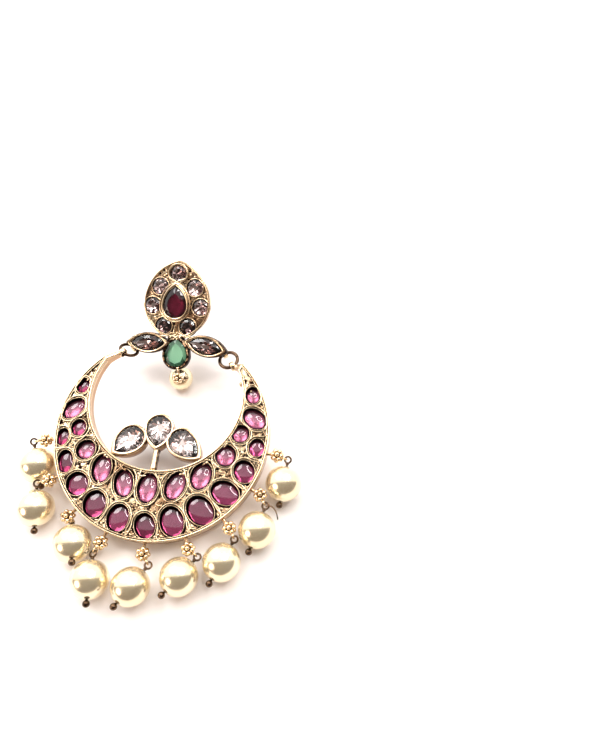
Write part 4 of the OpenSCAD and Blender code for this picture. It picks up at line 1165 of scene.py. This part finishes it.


# Cut stones: every facet has its own shade of foil behind it, a painted reflection
def cutStone(heap, outline, table, crown, depth, place, toneAt, rimAt, unrest=1.0):
    upper, lower = outline[0::2], outline[1::2]
    n, half = len(outline), len(outline) // 2
    step, reach = (1 + table) / 2, np.abs(outline).max(0)
    top, middle = raised(upper * table, crown), raised(lower * step * 1.02, crown * 0.55)
    girdle, waist = raised(outline, 0.0), raised(outline, -0.14)
    ring, tip = raised(lower * 0.62, -0.14 - depth * 0.18), raised(upper * 0.3, -0.14 - depth * 0.28)
    ring[:, 2] += unrest * rng.uniform(-0.09, 0.09, half)
    tip[:, 2] += unrest * rng.uniform(-0.07, 0.07, half)
    ring[:, :2] += unrest * rng.uniform(-0.2, 0.2, (half, 2))
    tip[:, :2] += unrest * rng.uniform(-0.2, 0.2, (half, 2))

    def facet(corners, paint):
        corners = np.array(corners)
        x, y = corners[:, :2].mean(0) / reach
        tone = 0.0  # of the table, which draws no chance
        if paint or len(corners) < 9:
            tone = (toneAt if paint else rimAt)(x, y, rng.random())
        heap.add(corners, [np.arange(len(corners))[None]], tone, paint, smooth=False, place=place)

    facet(top, 0)
    facet(tip[::-1], 1)
    for i in range(half):
        k, j, m = (i + 1) % half, 2 * i, (2 * i + 2) % n
        facet([top[i], middle[i], top[k]], 0)
        facet([top[i], middle[i - 1], girdle[j]], 0)
        facet([top[i], girdle[j], middle[i]], 0)
        facet([middle[i], girdle[j], girdle[j + 1]], 0)
        facet([middle[i], girdle[j + 1], girdle[m]], 0)
        facet([girdle[j], waist[j], waist[j + 1], girdle[j + 1]], 0)
        facet([girdle[j + 1], waist[j + 1], waist[m], girdle[m]], 0)
        facet([ring[i], waist[j + 1], waist[j]], 1)
        facet([ring[i], waist[m], waist[j + 1]], 1)
        facet([waist[j], ring[i - 1], tip[i]], 1)
        facet([waist[j], tip[i], ring[i]], 1)
        facet([ring[i], tip[i], tip[k]], 1)


def stonePiece(name, materials, stones):
    heap = Heap()
    for stone in stones:
        cutStone(heap, *stone)
    heap.build("cut_" + name, materials, [name], turnFaces=False)


# random painted reflection tints, darker towards the round end
def fanTone(x, y, chance):
    return np.clip(0.72 * chance + 0.5 * smooth(-y, -0.1, 0.5), 0, 1)


# a painted white highlight streak left of the middle, dark painted reflections on the other facets
def marquisePaintedStreak(x, y, chance):
    return 0.0 if abs(x + 0.3) < 0.42 and abs(y + 0.1) < 0.35 and chance < 0.7 else 0.52 + 0.48 * chance


# random painted reflection tints, darker on the two lower stones
def roundTone(more):
    return lambda x, y, chance: min(0.95 * chance + more, 1.0)


# crown facets darkened at random: painted reflections
def clearRim(x, y, chance):
    return 0.8 * chance ** 2


def evenTone(tone):
    return lambda x, y, chance: tone


# painted shade: crown facets darker on the left side and towards the top
def wineRim(x, y, chance):
    return 0.9 if x < 0.1 * y or y > 0.3 else 0.35


# painted dark reflection on the crown facets of the lower left edge
def greenRim(x, y, chance):
    return 1.0 if y + 0.6 * x < 0.25 else 0.45


def cutStonePieces():
    gap = crescent["stoneGap"]
    down = shift((0, 0, -0.2))
    for name, spot, row in zip(("left", "centre", "right"), fanPlaces, fanRows):
        r = fan["r"] - fan["bezel"] - gap
        stonePiece("fan_stone_" + name, [clearStone, clearFoil],
                   [(pear(r, row[3] * fan["point"] * r / fan["r"], 12), 0.6, 0.5, 1.22, onCrescent @ spot @ down,
                     fanTone, clearRim)])
    for name, place in zip(("marquise_left", "marquise_right"), marquisePlaces):
        stonePiece(name, [clearStone, smokyFoil],
                   [(marquise(stud["marquiseLong"] - 4 * gap, stud["marquiseWide"] - 2 * gap, 12), 0.6, 0.5, 1.02,
                     place @ down, marquisePaintedStreak, clearRim)])
    rounds = [(ellipse(stud["roundR"] - gap, stud["roundR"] - gap, 20), 0.6, 0.5, 1.22, onStud @ shift((*c, -0.2)),
               roundTone(0.4 if c[1] < -0.5 * stud["r"] else 0.0), clearRim) for c in roundCentres]
    stonePiece("round_stones", [clearStone, greyFoil], rounds)
    stonePiece("stud_ruby", [wineStone, wineFoil],
               [(pear(stud["rubyR"] - gap, stud["rubyPoint"] - 2 * gap, 8), 0.66, 0.5, 0.3,
                 onStud @ shift(gemCentre + vec(0, 0, 0.1)), evenTone(0.4), wineRim, 0.0)])
    stonePiece("stud_green", [greenStone, greenFoil],
               [(pear(stud["greenR"] - gap, stud["greenPoint"] - 2 * gap, 8), 0.74, 0.4, 0.2,
                 onStud @ shift(greenCentre + vec(0, 0, -0.2)), evenTone(0.0), greenRim, 0.0)])
    print("cut stones made")


cabochonPieces()
cutStonePieces()


# Floor, lights and surroundings
studio = {"floor": (0.97, 0.915, 0.89), "floorSize": 1.2, "fill": 0.19, "softbox": 1.38, "window": 5.0, "ring": 20.0,
          "boxTowards": (-0.15, 0.965, 0.215), "windowTowards": (-0.75, -0.5, 0.42),
          "ringTowards": (0.33, 0.4, 0.86), "ringAngle": 14, "ringWidth": 3,
          "fillColour": (1.0, 0.82, 0.72), "boxColour": (1.0, 0.985, 0.97),
          "keyAt": (-0.3, 0.26, 0.5), "keySize": 0.34, "keyPower": 2.4, "keyColour": (1.0, 0.99, 0.98)}


def addFloor():
    mesh = bpy.data.meshes.new("paperFloor")
    half = studio["floorSize"] / 2
    mesh.from_pydata([(-half, -half, 0), (half, -half, 0), (half, half, 0), (-half, half, 0)], [], [(0, 1, 2, 3)])
    floor = addObject("paperFloor", mesh)
    material, tree, shader = newMaterial("paperFloor")
    tone = ranged(tree, noise(tree, 40.0, 2.0), 0.3, 0.7)
    colour = mixed(tree, tone, rgba(studio["floor"]), rgba(tuple(0.985 * c for c in studio["floor"])))
    tree.links.new(colour, shader.inputs["Base Color"])
    shader.inputs["Roughness"].default_value = 0.6
    shader.inputs["Specular IOR Level"].default_value = 0.2
    mesh.materials.append(material)


def addKeyLight():
    data = bpy.data.lights.new("keyLight", "AREA")
    data.shape, data.size, data.energy = "DISK", studio["keySize"], studio["keyPower"]
    data.color = studio["keyColour"]
    at = vec(*studio["keyAt"])
    lamp = addObject("keyLight", data)
    lamp.matrix_world = Matrix(aimed(at, at - vec(0, 0, 0.005), vec(1, 0.1, 0)).tolist())


def addWorld():
    world = bpy.data.worlds.new("studioWorld")
    scene.world = world
    world.use_nodes = True
    tree = world.node_tree
    back = tree.nodes["Background"]
    direction = put(tree, "ShaderNodeTexCoord").outputs["Generated"]

    def patch(towards, outer, inner):  # 1 within the inner angle, 0 beyond the outer one
        dot = put(tree, "ShaderNodeVectorMath", {0: direction, 1: tuple(unit(vec(*towards)))}, operation="DOT_PRODUCT")
        return ranged(tree, dot.outputs["Value"], cosd(outer), cosd(inner))

    def ring(towards, radius, width):  # a thin round lamp
        whole = patch(towards, radius + width, radius + 0.6 * width)
        return maths(tree, "SUBTRACT", whole, patch(towards, radius, radius - 0.6 * width))

    high = patch(studio["boxTowards"], 88, 82)
    strength = plus(tree, studio["fill"], times(tree, high, studio["softbox"]))
    window = patch(studio["windowTowards"], 17, 12)
    strength = plus(tree, strength, times(tree, window, studio["window"]))
    lamp = ring(studio["ringTowards"], studio["ringAngle"], studio["ringWidth"])
    strength = plus(tree, strength, times(tree, lamp, studio["ring"]))
    colour = mixed(tree, high, rgba(studio["fillColour"]), rgba(studio["boxColour"]))
    tree.links.new(colour, back.inputs["Color"])
    tree.links.new(strength, back.inputs["Strength"])


addFloor()
addWorld()
addKeyLight()
scene.view_settings.view_transform = "Standard"
scene.view_settings.look = "None"
print("floor and lights set")
